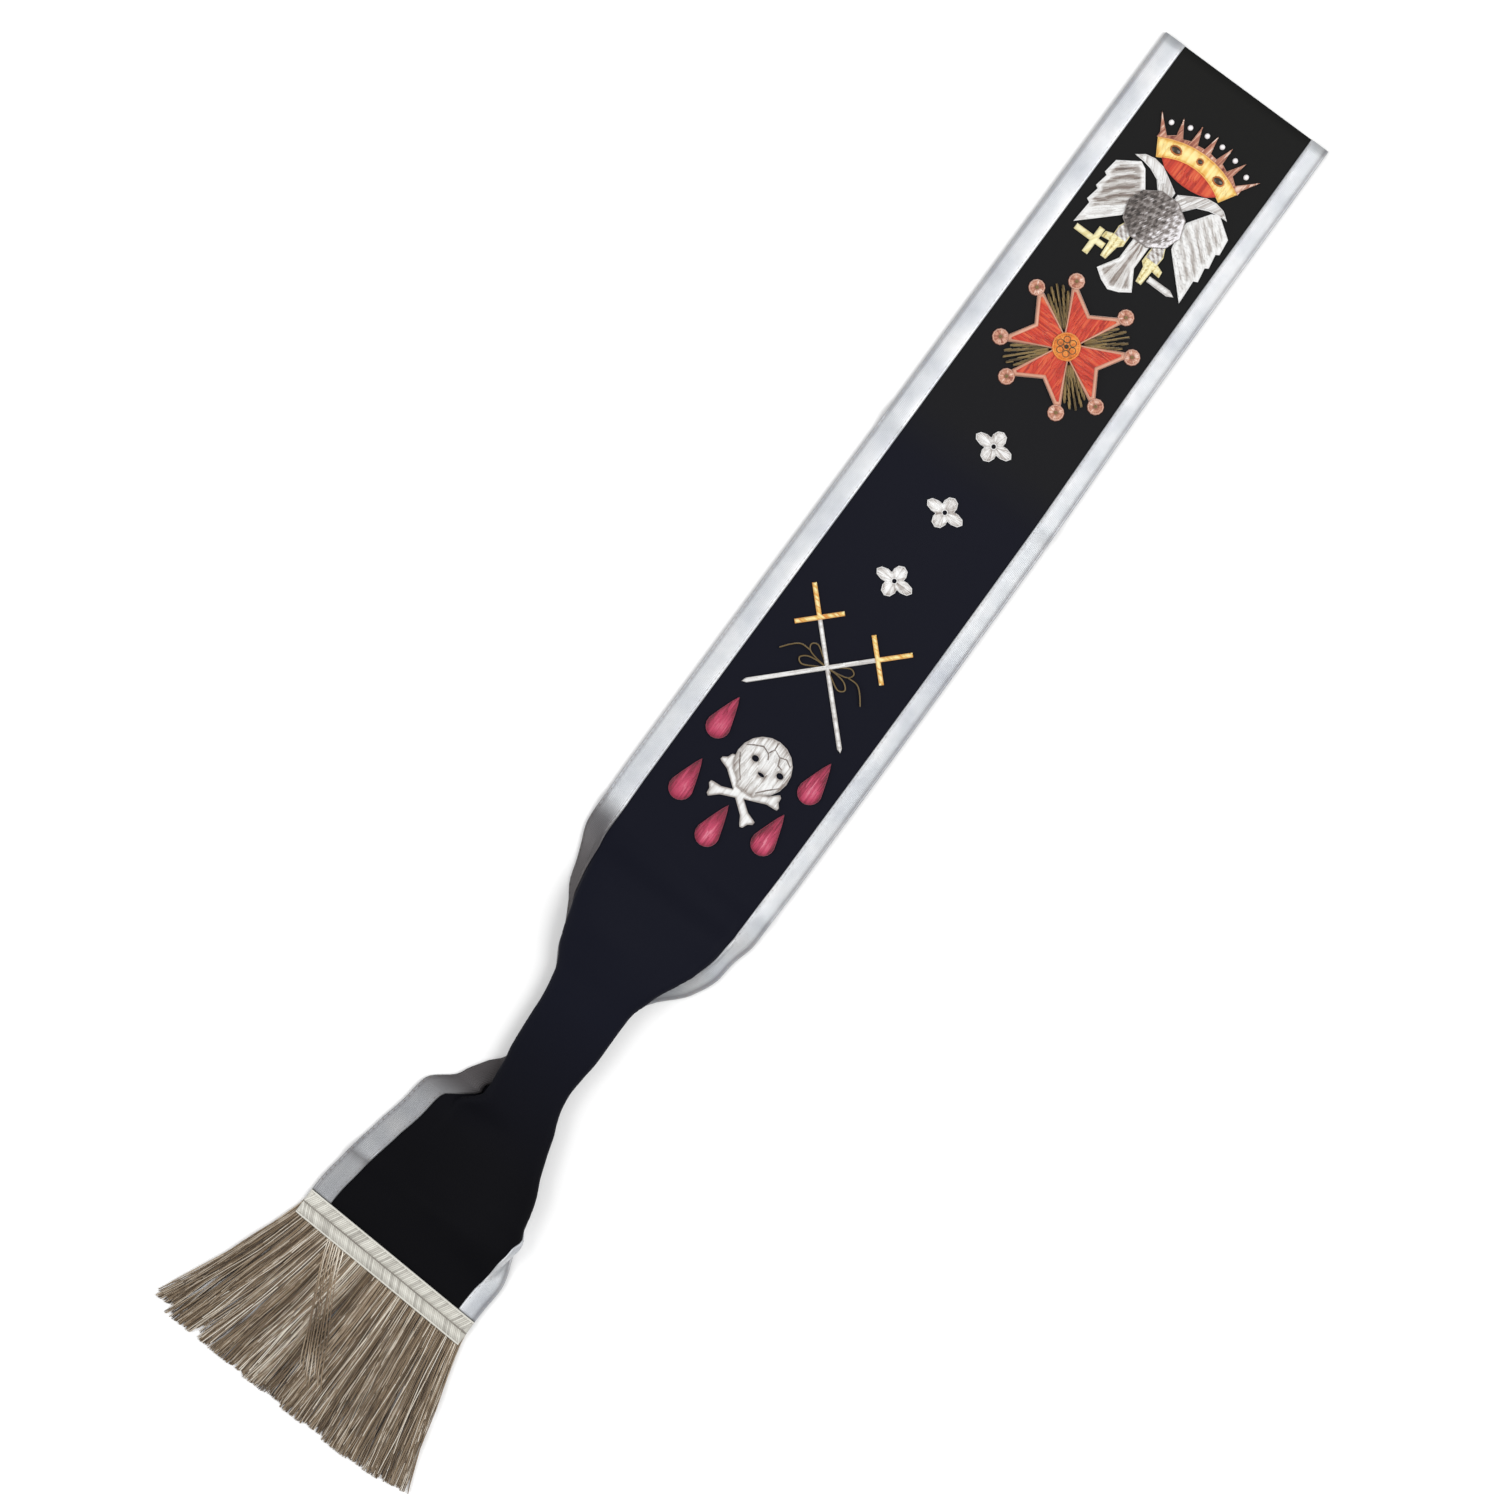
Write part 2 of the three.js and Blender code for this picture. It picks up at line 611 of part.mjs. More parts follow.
// Bird: a displayed heraldic bird with two necks, holding a sword
function buildBird() {
  const place = placeOf(birdPlace);
  const body = ellipse(birdBodyWidth, birdBodyHeight);
  const belly = placeOf(birdPlace, -1.5, -1);
  addPlate("bird_body", body, greyThread, belly, detailLevel, plateWall);

  // Shares of the wing span, and of its drop below the body's middle
  const wing = (drop) => {
    const feathers = [
      [-0.97, 0.46],
      [-1, 0.16],
      [-0.95, 0.12],
      [-0.99, -0.16],
      [-0.94, -0.2],
      [-0.98, -0.48],
      [-0.92, -0.52],
      [-0.95, -1],
    ];
    const inner = [
      [-0.42, -0.28],
      [-0.36, 0],
      [-0.37, 0.26],
      [-0.58, 0.66],
      [-0.68, 0.73],
    ];
    return [...feathers, ...inner].map(([x, y]) => [x * wingSpan, y * drop]);
  };
  addPlate("bird_wing_left", polygon(wing(wingDrop)), paleThread, place);
  addPlate("bird_wing_right", polygon(mirrored(wing(wingDrop * 1.08))), paleThread, place);

  const top = birdBodyHeight / 2;
  const neck = [
    [-1, top - 4],
    [-1, top + 1.5],
    [-7, top + 5],
    [-13.5, top + 8.6],
    [-19, top + 9.4],
    [-24, top + 8.4],
    [-28.2, top + 5.6],
    [-23, top + 5.6],
    [-18, top + 4.6],
    [-12, top + 2],
    [-7, top - 4],
  ].reverse();
  addPlate("bird_head_left", polygon(neck), paleThread, place);
  addPlate("bird_head_right", polygon(mirrored(neck)), paleThread, place);

  const root = -birdBodyHeight / 2 + 2;
  const tailRoot = 4.2;
  const tail = [
    [-tailRoot, root],
    [-tailRoot, root - birdTailLength * 0.5],
    [-birdTailHalf, root - birdTailLength * 0.85],
    [-birdTailHalf * 0.5, root - birdTailLength * 0.97],
    [0, root - birdTailLength * 1.04],
    [birdTailHalf * 0.5, root - birdTailLength * 0.97],
    [birdTailHalf, root - birdTailLength * 0.85],
    [tailRoot, root - birdTailLength * 0.5],
    [tailRoot, root],
  ];
  addPlate("bird_tail", polygon(tail), paleThread, placeOf(birdPlace, 0.4));

  // Shares of the leg's length below the body's middle
  const legShares = [
    [-0.355, -0.258],
    [-0.435, -0.452],
    [-0.426, -0.597],
    [-0.555, -0.645],
    [-0.568, -0.742],
    [-0.419, -0.723],
    [-0.4, -1],
    [-0.31, -1],
    [-0.271, -0.742],
    [-0.2, -0.677],
    [-0.206, -0.452],
    [-0.194, -0.258],
  ];
  const leg = legShares.map(([x, y]) => [x * birdLegLength, y * birdLegLength]);
  addPlate("bird_leg_left", polygon(leg), goldThread, place);
  addPlate("bird_leg_right", polygon(mirrored(leg)), goldThread, place);

  const swordY = -26.6;
  const guardX = -birdSwordReach * 0.635;
  const grip = 1.4;
  const guardHalf = 8;
  const hilt = [
    [-birdSwordReach, swordY - grip],
    [guardX - grip, swordY - grip],
    [guardX - grip, swordY - guardHalf],
    [guardX + grip, swordY - guardHalf],
    [guardX + grip, swordY - grip],
    [-14, swordY - grip],
    [-14, swordY + grip],
    [guardX + grip, swordY + grip],
    [guardX + grip, swordY + guardHalf * 0.85],
    [guardX - grip, swordY + guardHalf * 0.85],
    [guardX - grip, swordY + grip],
    [-birdSwordReach, swordY + grip],
  ];
  addPlate("bird_sword_hilt", polygon(hilt), goldThread, place);
  const blade = [
    [14, swordY - grip],
    [birdSwordReach * 0.84, swordY - grip],
    [birdSwordReach * 0.94, swordY],
    [birdSwordReach * 0.84, swordY + grip],
    [14, swordY + grip],
  ];
  addPlate("bird_sword_blade", polygon(blade), paleThread, place);
}

// Cross of four fishtail arms with a knob at each point, a sheaf of rays in each quarter
function buildCross() {
  const place = placeOf(crossPlace, 1.1, -0.6);
  const knobReach = Math.hypot(crossKnobSide, crossKnobOut);
  const inset = 1 - (crossKnobRadius + sewingGap + 0.2) / knobReach;
  const corner = [crossKnobSide * inset, crossKnobOut * inset];
  const edge = 1;
  const along = [crossKnobSide / knobReach, crossKnobOut / knobReach];
  const valley = 3.6;
  const arm = [
    [-valley, valley],
    [-corner[0] - edge * along[1], corner[1] - edge * along[0]],
    [-corner[0] + edge * along[1], corner[1] + edge * along[0]],
    [0, crossNotch],
    [corner[0] - edge * along[1], corner[1] + edge * along[0]],
    [corner[0] + edge * along[1], corner[1] - edge * along[0]],
  ];
  const points = [];
  for (let quarter = 0; quarter < 4; quarter++) {
    const [c, s] = [Math.cos, Math.sin].map((f) => Math.round(f((-quarter * Math.PI) / 2)));
    points.push(...arm.map(([x, y]) => [x * c - y * s, x * s + y * c]));
  }
  addPlate("cross_arms", polygon(points.reverse()), redThread, place);

  let number = 0;
  for (let quarter = 0; quarter < 4; quarter++)
    for (const side of [-1, 1]) {
      const knob = new THREE.CylinderGeometry(crossKnobRadius * 0.85, crossKnobRadius, plateWall, 12);
      knob.rotateX(Math.PI / 2);
      const at = new THREE.Vector2(side * crossKnobSide, crossKnobOut);
      at.rotateAround(new THREE.Vector2(), (quarter * Math.PI) / 2);
      number += 1;
      const mesh = addPiece("cross_knob_" + number, knob, roseThread);
      mesh.position.set(place.x + at.x, place.y + at.y, faceLevel + plateWall / 2);
    }

  const rootReach = 13.2;
  const raySpread = 0.95;
  const tipSpread = 3;
  const rayHalf = 0.45;
  const middle = (rayCount - 1) / 2;
  const fingers = [[rootReach - 1.2, -middle * raySpread - rayHalf]];
  for (let k = -middle; k <= middle; k++) {
    const reach = rayReach - 1.1 * k * k;
    const swing = raySpread + (tipSpread - raySpread) * ((reach - rootReach) / (rayReach - rootReach));
    fingers.push([rootReach + 2, k * 1.15 * raySpread - rayHalf]);
    fingers.push([reach, k * swing - rayHalf], [reach, k * swing + rayHalf]);
    fingers.push([rootReach + 2, k * 1.15 * raySpread + rayHalf]);
  }
  fingers.push([rootReach - 1.2, middle * raySpread + rayHalf]);
  for (let quarter = 0; quarter < 4; quarter++) {
    const turned = { ...place, turn: Math.PI / 4 + (quarter * Math.PI) / 2 };
    addPlate("cross_rays_" + (quarter + 1), polygon(fingers), oliveThread, turned);
  }

  const centre = new THREE.CylinderGeometry(crossCentreRadius * 0.9, crossCentreRadius, plateWall, 20);
  centre.rotateX(Math.PI / 2);
  addPiece("cross_centre", centre, goldThread).position.set(
    place.x,
    place.y,
    detailLevel + plateWall / 2
  );
}

// Three white rosettes of four petals, in a row below the cross
function buildOrnaments() {
  const steps = 24;
  const petals = [];
  for (let k = 0; k < steps; k++) {
    const angle = (2 * Math.PI * k) / steps;
    const reach = ornamentRadius * (0.45 + 0.55 * Math.abs(Math.cos(2 * angle)) ** 1.4);
    petals.push([reach * Math.cos(angle), 0.8 * reach * Math.sin(angle)]);
  }
  ornamentPlaces.forEach((share, k) => {
    const shape = polygon(petals);
    shape.holes.push(ellipse(ornamentRadius * 0.3, ornamentRadius * 0.3));
    addPlate("rosette_" + (k + 1), shape, paleThread, placeOf(share, 1.5));
  });
}

// Two swords crossed below their hilts, with a bow of cord on each side
function buildSwords() {
  const bladeHalf = bladeWidth / 2;
  const guardHalf = guardLength / 2;
  const gripHalf = gripWidth / 2;
  const guardY = swordCrossing;
  const blade = polygon([
    [-bladeHalf, guardY - gripHalf - sewingGap],
    [-bladeHalf, guardY - bladeLength + 2],
    [0, guardY - bladeLength],
    [bladeHalf, guardY - bladeLength + 2],
    [bladeHalf, guardY - gripHalf - sewingGap],
  ]);
  const lean = radians(45);
  const turned = (angle) => solidOf(extruded(blade, plateWall).rotateZ(angle));
  const place = placeOf(swordsPlace, 0.3);
  const blades = addPiece("sword_blades", geometryOf(turned(lean).add(turned(-lean))), paleThread);
  blades.position.set(place.x, place.y, faceLevel);

  const hilt = polygon([
    [-guardHalf, guardY - gripHalf],
    [guardHalf, guardY - gripHalf],
    [guardHalf, guardY + gripHalf],
    [gripHalf, guardY + gripHalf],
    [gripHalf, guardY + gripLength],
    [-gripHalf, guardY + gripLength],
    [-gripHalf, guardY + gripHalf],
    [-guardHalf, guardY + gripHalf],
  ]);
  addPlate("sword_hilt_left", hilt, goldThread, { ...place, turn: lean });
  addPlate("sword_hilt_right", hilt, goldThread, { ...place, turn: -lean });

  const bow = [
    [-4.5, -0.6],
    [-9, 1],
    [-14, 6.6],
    [-17, 5],
    [-14.5, 0.5],
    [-19, -1.5],
    [-25, -6],
  ];
  addPlate("sword_bow_left", strip(bow, bowWidth), oliveThread, place);
  addPlate("sword_bow_right", strip(mirrored(bow), bowWidth), oliveThread, place);
}

// Skull over crossed bones, with five drops around them
function buildSkull() {
  const place = placeOf(skullPlace, 3.7);
  const jawHalf = skullRadius * 0.46;
  const jawY = -skullRadius * 1.05;
  const outline = (grow) => {
    const points = [];
    const steps = 14;
    const from = radians(-38);
    const to = radians(218);
    for (let k = 0; k <= steps; k++) {
      const angle = mix(from, to, k / steps);
      const reach = skullRadius + grow;
      points.push([reach * Math.cos(angle), reach * Math.sin(angle)]);
    }
    const jaw = jawHalf + grow;
    points.push([-jaw, jawY * 0.82], [-jaw * 0.68, jawY - grow]);
    points.push([jaw * 0.68, jawY - grow], [jaw, jawY * 0.82]);
    return polygon(points);
  };
  const skull = outline(0);
  const socket = skullRadius * 0.32;
  for (const aside of [-0.37, 0.67])
    skull.holes.push(ellipse(socket, socket * 0.85, skullRadius * aside, skullRadius * 0.08));
  skull.holes.push(ellipse(socket, socket * 0.55, skullRadius * 0.12, -skullRadius * 0.26));
  addPlate("skull", skull, paleThread, place);

  const half = boneLength / 2;
  const thin = boneWidth / 2;
  const knob = boneWidth * 1.05;
  const end = [
    [half - 4.5, thin],
    [half - 0.4, knob * 0.9],
    [half + 0.8, knob],
    [half + 1.4, knob * 0.7],
    [half + 0.6, 0],
  ];
  const quarterTurned = end.map(([x, y]) => [x, -y]).reverse().slice(1);
  const rightEnd = [...end, ...quarterTurned].reverse();
  const leftEnd = rightEnd.map(([x, y]) => [-x, -y]);
  const bone = polygon([...rightEnd, ...leftEnd]);
  const turned = (angle, along) => {
    const shifted = extruded(bone, plateWall).translate(along, 0, 0);
    return solidOf(shifted.rotateZ(radians(angle)));
  };
  const cutter = extruded(outline(sewingGap + 0.2), plateWall * 3);
  const [aside, below] = [-1.6, -skullRadius * 1.25];
  cutter.translate(-aside, -below, -plateWall);
  const bones = turned(-38, -1.8).add(turned(24, 2.8)).subtract(solidOf(cutter));
  const mesh = addPiece("crossbones", geometryOf(bones), paleThread);
  mesh.position.set(place.x + aside, place.y + below, faceLevel);

  const drop = new THREE.Shape();
  const low = -dropLength / 2 + dropRadius;
  drop.moveTo(0, dropLength / 2);
  drop.quadraticCurveTo(-dropRadius * 0.5, dropLength * 0.2, -dropRadius, low + 1);
  drop.absarc(0, low, dropRadius, Math.PI - 0.15, 2 * Math.PI + 0.15, false);
  drop.quadraticCurveTo(dropRadius * 0.5, dropLength * 0.2, 0, dropLength / 2);
  const drops = [
    { name: "upper_left", x: -0.785, y: 0.236 },
    { name: "upper_right", x: 0.696, y: 0.246 },
    { name: "lower_left", x: -0.7, y: -0.7 },
    { name: "lower_right", x: 0.6, y: -0.655 },
    { name: "bottom", x: -0.06, y: -0.99 },
  ];
  for (const { name, x, y } of drops) {
    const at = { x: place.x + x * dropSpread, y: place.y + y * dropSpread };
    addPlate("drop_" + name, drop, crimsonThread, at);
  }
}

buildCrown();
buildBird();
buildCross();
buildOrnaments();
buildSwords();
buildSkull();

// The frame's origin is the middle of the whole sash, on the floor.
const box = new THREE.Box3().setFromObject(sash);
const middle = box.getCenter(new THREE.Vector3());
sash.position.set(-middle.x, -middle.y, -box.min.z);

const part = new THREE.Group();
part.add(sash);

export default part;
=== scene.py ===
# %% [markdown]
# # A sash of an order, dressed in cloth, ribbon and thread
#
# The sash is a long band of black cloth with a metallic ribbon along each edge, a row of padded
# embroideries down its face, a braid and a fringe at its lower end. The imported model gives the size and
# place of every piece, so the lesson starts by loading it. Everything below is in metres, in that frame.

# %% Load the frame
import math

import bmesh
import bpy
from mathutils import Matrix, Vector, noise


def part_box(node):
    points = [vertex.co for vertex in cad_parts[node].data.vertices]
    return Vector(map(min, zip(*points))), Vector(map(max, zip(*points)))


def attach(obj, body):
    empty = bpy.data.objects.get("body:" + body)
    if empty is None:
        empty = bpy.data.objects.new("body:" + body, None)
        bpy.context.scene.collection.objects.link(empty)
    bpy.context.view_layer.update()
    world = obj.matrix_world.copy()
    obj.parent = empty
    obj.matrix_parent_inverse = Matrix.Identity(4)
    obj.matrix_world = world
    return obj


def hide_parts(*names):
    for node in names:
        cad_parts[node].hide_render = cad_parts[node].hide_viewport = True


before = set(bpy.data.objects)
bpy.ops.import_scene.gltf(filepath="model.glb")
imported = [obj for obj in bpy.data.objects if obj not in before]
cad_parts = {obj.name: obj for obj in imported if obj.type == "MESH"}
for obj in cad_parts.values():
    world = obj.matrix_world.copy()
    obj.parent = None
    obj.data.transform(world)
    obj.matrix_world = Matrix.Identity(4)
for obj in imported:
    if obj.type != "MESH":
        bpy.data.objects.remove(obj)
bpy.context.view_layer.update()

MM = 0.001
print("nodes in the frame:", len(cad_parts))


def add_to_scene(name, data):
    thing = bpy.data.objects.new(name, data)
    bpy.context.scene.collection.objects.link(thing)
    return thing


def write_values(mesh, name, values):
    """Writes one number per point of a mesh, for a tree or a finish to read."""
    mesh.attributes.new(name, "FLOAT", "POINT").data.foreach_set("value", values)

# %% [markdown]
# ## Camera, floor and light
#
# The photograph looks straight down on the sash, which lies aslant with its shoulder end at the upper right.
# A long lens from well above keeps the two ends at one scale. The picture is turned by rolling the camera
# about its own view line: picture-right is a direction on the floor, and so is picture-up.

# %% Camera
PICTURE_WIDTH = 750 * MM
PICTURE_MIDDLE = Vector((-1.0 * MM, -5.8 * MM, 0))
PICTURE_ROLL = math.radians(36.45)
CAMERA_HEIGHT = 2.4
SENSOR = 36.0


def make_camera():
    lens = bpy.data.cameras.new("camera")
    lens.sensor_width = SENSOR
    lens.lens = SENSOR * CAMERA_HEIGHT / PICTURE_WIDTH
    camera = add_to_scene("camera", lens)
    camera.location = PICTURE_MIDDLE + Vector((0, 0, CAMERA_HEIGHT))
    camera.rotation_euler = (0, 0, PICTURE_ROLL)
    bpy.context.scene.camera = camera
    return camera


camera = make_camera()
print("lens", round(camera.data.lens), "mm")

# %% [markdown]
# A studio like the photograph's is bright and even, with a little more light from the right. One large
# panel lights that side, a weaker one fills the other, and a pale world lifts what is left. The plain
# Standard view keeps the white ground white and the silks strong, as in the photograph.

# %% Light
def area_light(name, place, size, power, aim=(0, 0, 0)):
    light = bpy.data.lights.new(name, "AREA")
    light.shape = "SQUARE"
    light.size = size
    light.energy = power
    lamp = add_to_scene(name, light)
    lamp.location = place
    lamp.rotation_euler = (Vector(place) - Vector(aim)).to_track_quat("Z", "Y").to_euler()
    return lamp


KEY_LIGHT = {"place": (1.2, 0.75, 1.8), "size": 1.6, "power": 37}
FILL_LIGHT = {"place": (-1.5, -0.8, 1.4), "size": 1.8, "power": 25}
WORLD_STRENGTH = 0.60
area_light("key_light", **KEY_LIGHT)
area_light("fill_light", **FILL_LIGHT)
world = bpy.data.worlds.new("studio")
world.use_nodes = True
background = world.node_tree.nodes["Background"].inputs
background["Color"].default_value = (1.0, 1.0, 1.0, 1)
background["Strength"].default_value = WORLD_STRENGTH
bpy.context.scene.world = world
bpy.context.scene.view_settings.view_transform = "Standard"

# %% [markdown]
# ## Helpers for node trees
#
# Materials and Geometry Nodes trees are both built from nodes and links. One helper adds a node, sets its
# values and links whatever is a socket, so that each tree reads as a list of steps.

# %% Node helper
def add_node(tree, kind, values=None, **settings):
    node = tree.nodes.new(kind)
    for name, value in settings.items():
        setattr(node, name, value)
    for key, value in (values or {}).items():
        if isinstance(value, bpy.types.NodeSocket):
            tree.links.new(value, node.inputs[key])
        else:
            node.inputs[key].default_value = value
    return node


def math_node(tree, operation, *values):
    return add_node(tree, "ShaderNodeMath", dict(enumerate(values)), operation=operation).outputs[0]


def new_group(name, kind, inputs, outputs):
    tree = bpy.data.node_groups.new(name, kind)
    for socket, socket_kind, value in inputs:
        made = tree.interface.new_socket(socket, in_out="INPUT", socket_type="NodeSocket" + socket_kind)
        if value is not None:
            made.default_value = value
    for socket, socket_kind in outputs:
        tree.interface.new_socket(socket, in_out="OUTPUT", socket_type="NodeSocket" + socket_kind)
    return tree, tree.nodes.new("NodeGroupInput").outputs, tree.nodes.new("NodeGroupOutput").inputs


print("helpers ready")

# %% [markdown]
# ## Shader groups that several finishes share
#
# Handled cloth is never one even colour: it is a little darker here and duller there. This group turns two
# scales of noise into one mask, which each material then uses in its own way.

# %% Handled tone
def handled_tone_group():
    tree, given, made = new_group(
        "Handled tone",
        "ShaderNodeTree",
        [("Vector", "Vector", None), ("Scale", "Float", 30.0), ("Fine", "Float", 400.0)],
        [("Tone", "Float"), ("Fine tone", "Float")],
    )
    for scale, detail, output in (("Scale", 4.0, "Tone"), ("Fine", 2.0, "Fine tone")):
        values = {"Vector": given["Vector"], "Scale": given[scale], "Detail": detail}
        tree.links.new(add_node(tree, "ShaderNodeTexNoise", values).outputs["Fac"], made[output])
    return tree


HANDLED_TONE = handled_tone_group()
print(HANDLED_TONE.name, "ready")

# %% [markdown]
# Satin is woven so that long warp threads float over several weft threads. The weave group takes the
# cloth's own coordinates, in metres across and along it, rounds each thread, and lets the weft show at one
# crossing in five.

# %% Satin weave
def satin_weave_group():
    tree, given, made = new_group(
        "Satin weave",
        "ShaderNodeTree",
        [("Vector", "Vector", None), ("Threads", "Float", 2600.0)],
        [("Height", "Float"), ("Weft", "Float")],
    )
    parts = add_node(tree, "ShaderNodeSeparateXYZ", {0: given["Vector"]})
    across = math_node(tree, "MULTIPLY", parts.outputs["X"], given["Threads"])
    along = math_node(tree, "MULTIPLY", parts.outputs["Y"], given["Threads"])
    warp = math_node(tree, "PINGPONG", across, 0.5)
    shift = math_node(tree, "MULTIPLY", math_node(tree, "FLOOR", across), 2.0)
    step = math_node(tree, "ADD", math_node(tree, "FLOOR", along), shift)
    place = math_node(tree, "FRACT", math_node(tree, "DIVIDE", step, 5.0))
    weft = math_node(tree, "LESS_THAN", place, 0.1)
    dip = math_node(tree, "MULTIPLY", weft, 0.25)
    tree.links.new(math_node(tree, "SUBTRACT", warp, dip), made["Height"])
    tree.links.new(weft, made["Weft"])
    return tree


SATIN_WEAVE = satin_weave_group()
print(SATIN_WEAVE.name, "ready")

# %% [markdown]
# A thread is two or three fine strands twisted together. The threads below carry how far along them each
# point is in an attribute, so the twist is a wave of that length.

# %% Thread twist
def thread_twist_group():
    tree, given, made = new_group(
        "Thread twist",
        "ShaderNodeTree",
        [("Run", "Float", None), ("Pitch", "Float", 0.0009)],
        [("Height", "Float")],
    )
    turns = math_node(tree, "DIVIDE", given["Run"], given["Pitch"])
    wave = math_node(tree, "SINE", math_node(tree, "MULTIPLY", turns, 2 * math.pi))
    tree.links.new(math_node(tree, "MULTIPLY", wave, 0.5), made["Height"])
    return tree


THREAD_TWIST = thread_twist_group()
print(THREAD_TWIST.name, "ready")

# %% [markdown]
# ## Finishes
#
# Each finish is one material. A small class keeps its tree, its Principled shader and its colour ramp
# within reach, so that a finish is written in a few lines.

# %% Finish builder
class Finish:
    def __init__(self, name, roughness, metallic=0.0, **constants):
        self.material = bpy.data.materials.new(name)
        self.material.use_nodes = True
        self.tree = self.material.node_tree
        self.shader = self.tree.nodes["Principled BSDF"]
        self.shader.inputs["Roughness"].default_value = roughness
        self.shader.inputs["Metallic"].default_value = metallic
        for socket, value in constants.items():
            self.shader.inputs[socket.replace("_", " ")].default_value = value

    def node(self, kind, values=None, **settings):
        return add_node(self.tree, kind, values, **settings)

    def math(self, operation, *values):
        return math_node(self.tree, operation, *values)

    def group(self, group, **values):
        values = {key.replace("_", " "): value for key, value in values.items()}
        return self.node("ShaderNodeGroup", values, node_tree=group).outputs

    def object_place(self):
        return self.node("ShaderNodeTexCoord").outputs["Object"]

    def attribute(self, name):
        return self.node("ShaderNodeAttribute", attribute_name=name).outputs["Fac"]

    def ramp(self, value, stops):
        ramp = self.node("ShaderNodeValToRGB", {"Fac": value})
        elements = ramp.color_ramp.elements
        while len(elements) < len(stops):
            elements.new(1.0)
        for element, (position, colour) in zip(elements, stops):
            element.position = position
            element.color = (*colour, 1)
        return ramp.outputs["Color"]

    def mix(self, share, first, second, blend="MIX"):
        mixer = self.node("ShaderNodeMix", data_type="RGBA", blend_type=blend)
        sockets = {s.identifier: s for s in mixer.inputs}
        for key, value in (("Factor_Float", share), ("A_Color", first), ("B_Color", second)):
            if isinstance(value, bpy.types.NodeSocket):
                self.tree.links.new(value, sockets[key])
            elif key == "Factor_Float":
                sockets[key].default_value = value
            else:
                sockets[key].default_value = (*value, 1)
        return next(s for s in mixer.outputs if s.identifier == "Result_Color")

    def colour(self, value):
        self.tree.links.new(value, self.shader.inputs["Base Color"])

    def roughness(self, value):
        self.tree.links.new(value, self.shader.inputs["Roughness"])

    def bump(self, height, distance, strength=1.0):
        bump = self.node("ShaderNodeBump", {"Height": height, "Distance": distance, "Strength": strength})
        self.tree.links.new(bump.outputs["Normal"], self.shader.inputs["Normal"])


print("finish builder ready")

# %% [markdown]
# The floor is a plain sheet of pale paper. It belongs to the stage and not to the sash.

# %% Floor
def make_floor():
    paper = Finish("floor_paper", 0.85)
    tone = paper.group(HANDLED_TONE, Vector=paper.object_place(), Scale=2.0, Fine=300.0)
    paper.colour(paper.ramp(tone["Tone"], [(0.0, (0.88, 0.88, 0.88)), (1.0, (0.92, 0.92, 0.92))]))
    paper.bump(tone["Fine tone"], 0.00005)
    mesh = bpy.data.meshes.new("floor")
    reach = 6.0
    corners = [(-reach, -reach, 0), (reach, -reach, 0), (reach, reach, 0), (-reach, reach, 0)]
    mesh.from_pydata(corners, [], [(0, 1, 2, 3)])
    mesh.materials.append(paper.material)
    floor = add_to_scene("floor", mesh)
    return floor


make_floor()
print("floor laid")

# %% [markdown]
# The black cloth is satin faced. In the photograph its upper third is charcoal, its middle has a blue cast
# and its tail is nearly pure black, so the colour follows the place along the cloth.

# %% Black cloth
CLOTH_LENGTH = 726 * MM


def black_cloth_finish():
    cloth = Finish("black_cloth", 0.5, Sheen_Weight=0.012, Sheen_Roughness=0.4, Specular_IOR_Level=0.025)
    place = cloth.node("ShaderNodeUVMap", uv_map="cloth").outputs["UV"]
    parts = cloth.node("ShaderNodeSeparateXYZ", {0: place})
    along = cloth.math("DIVIDE", parts.outputs["Y"], CLOTH_LENGTH)
    tone = cloth.group(HANDLED_TONE, Vector=cloth.object_place(), Scale=14.0, Fine=900.0)
    weave = cloth.group(SATIN_WEAVE, Vector=place, Threads=2400.0)
    base = cloth.ramp(
        along,
        [
            (0.0, (0.0125, 0.0125, 0.0115)),
            (0.30, (0.0115, 0.0115, 0.0125)),
            (0.34, (0.0080, 0.0085, 0.0140)),
            (0.78, (0.0055, 0.0062, 0.0120)),
            (0.90, (0.0026, 0.0026, 0.0034)),
            (1.0, (0.0022, 0.0022, 0.0026)),
        ],
    )
    worn = cloth.mix(cloth.math("MULTIPLY", tone["Tone"], 0.20), base, (0.013, 0.013, 0.017))
    cloth.colour(cloth.mix(cloth.math("MULTIPLY", weave["Weft"], 0.30), worn, (0.004, 0.004, 0.006)))
    cloth.roughness(cloth.math("MULTIPLY_ADD", tone["Fine tone"], 0.16, 0.44))
    cloth.bump(weave["Height"], 0.00010, 0.6)
    return cloth.material


BLACK_CLOTH = black_cloth_finish()
print(BLACK_CLOTH.name, "ready")

# %% [markdown]
# The border ribbon is woven with flat metallic yarn in lengthwise ribs. It is brightest beside the cloth,
# has a line of painted shade near its outer edge, and its silver is blotched blue and white where it has
# been handled. Where it turns from the light in the pleats, an attribute paints its shade, dark and brown.

# %% Silver ribbon
RIBBON_WIDTH = 12 * MM
RIBBON_WIDTHS = {"left": 12 * MM, "right": 10.5 * MM}


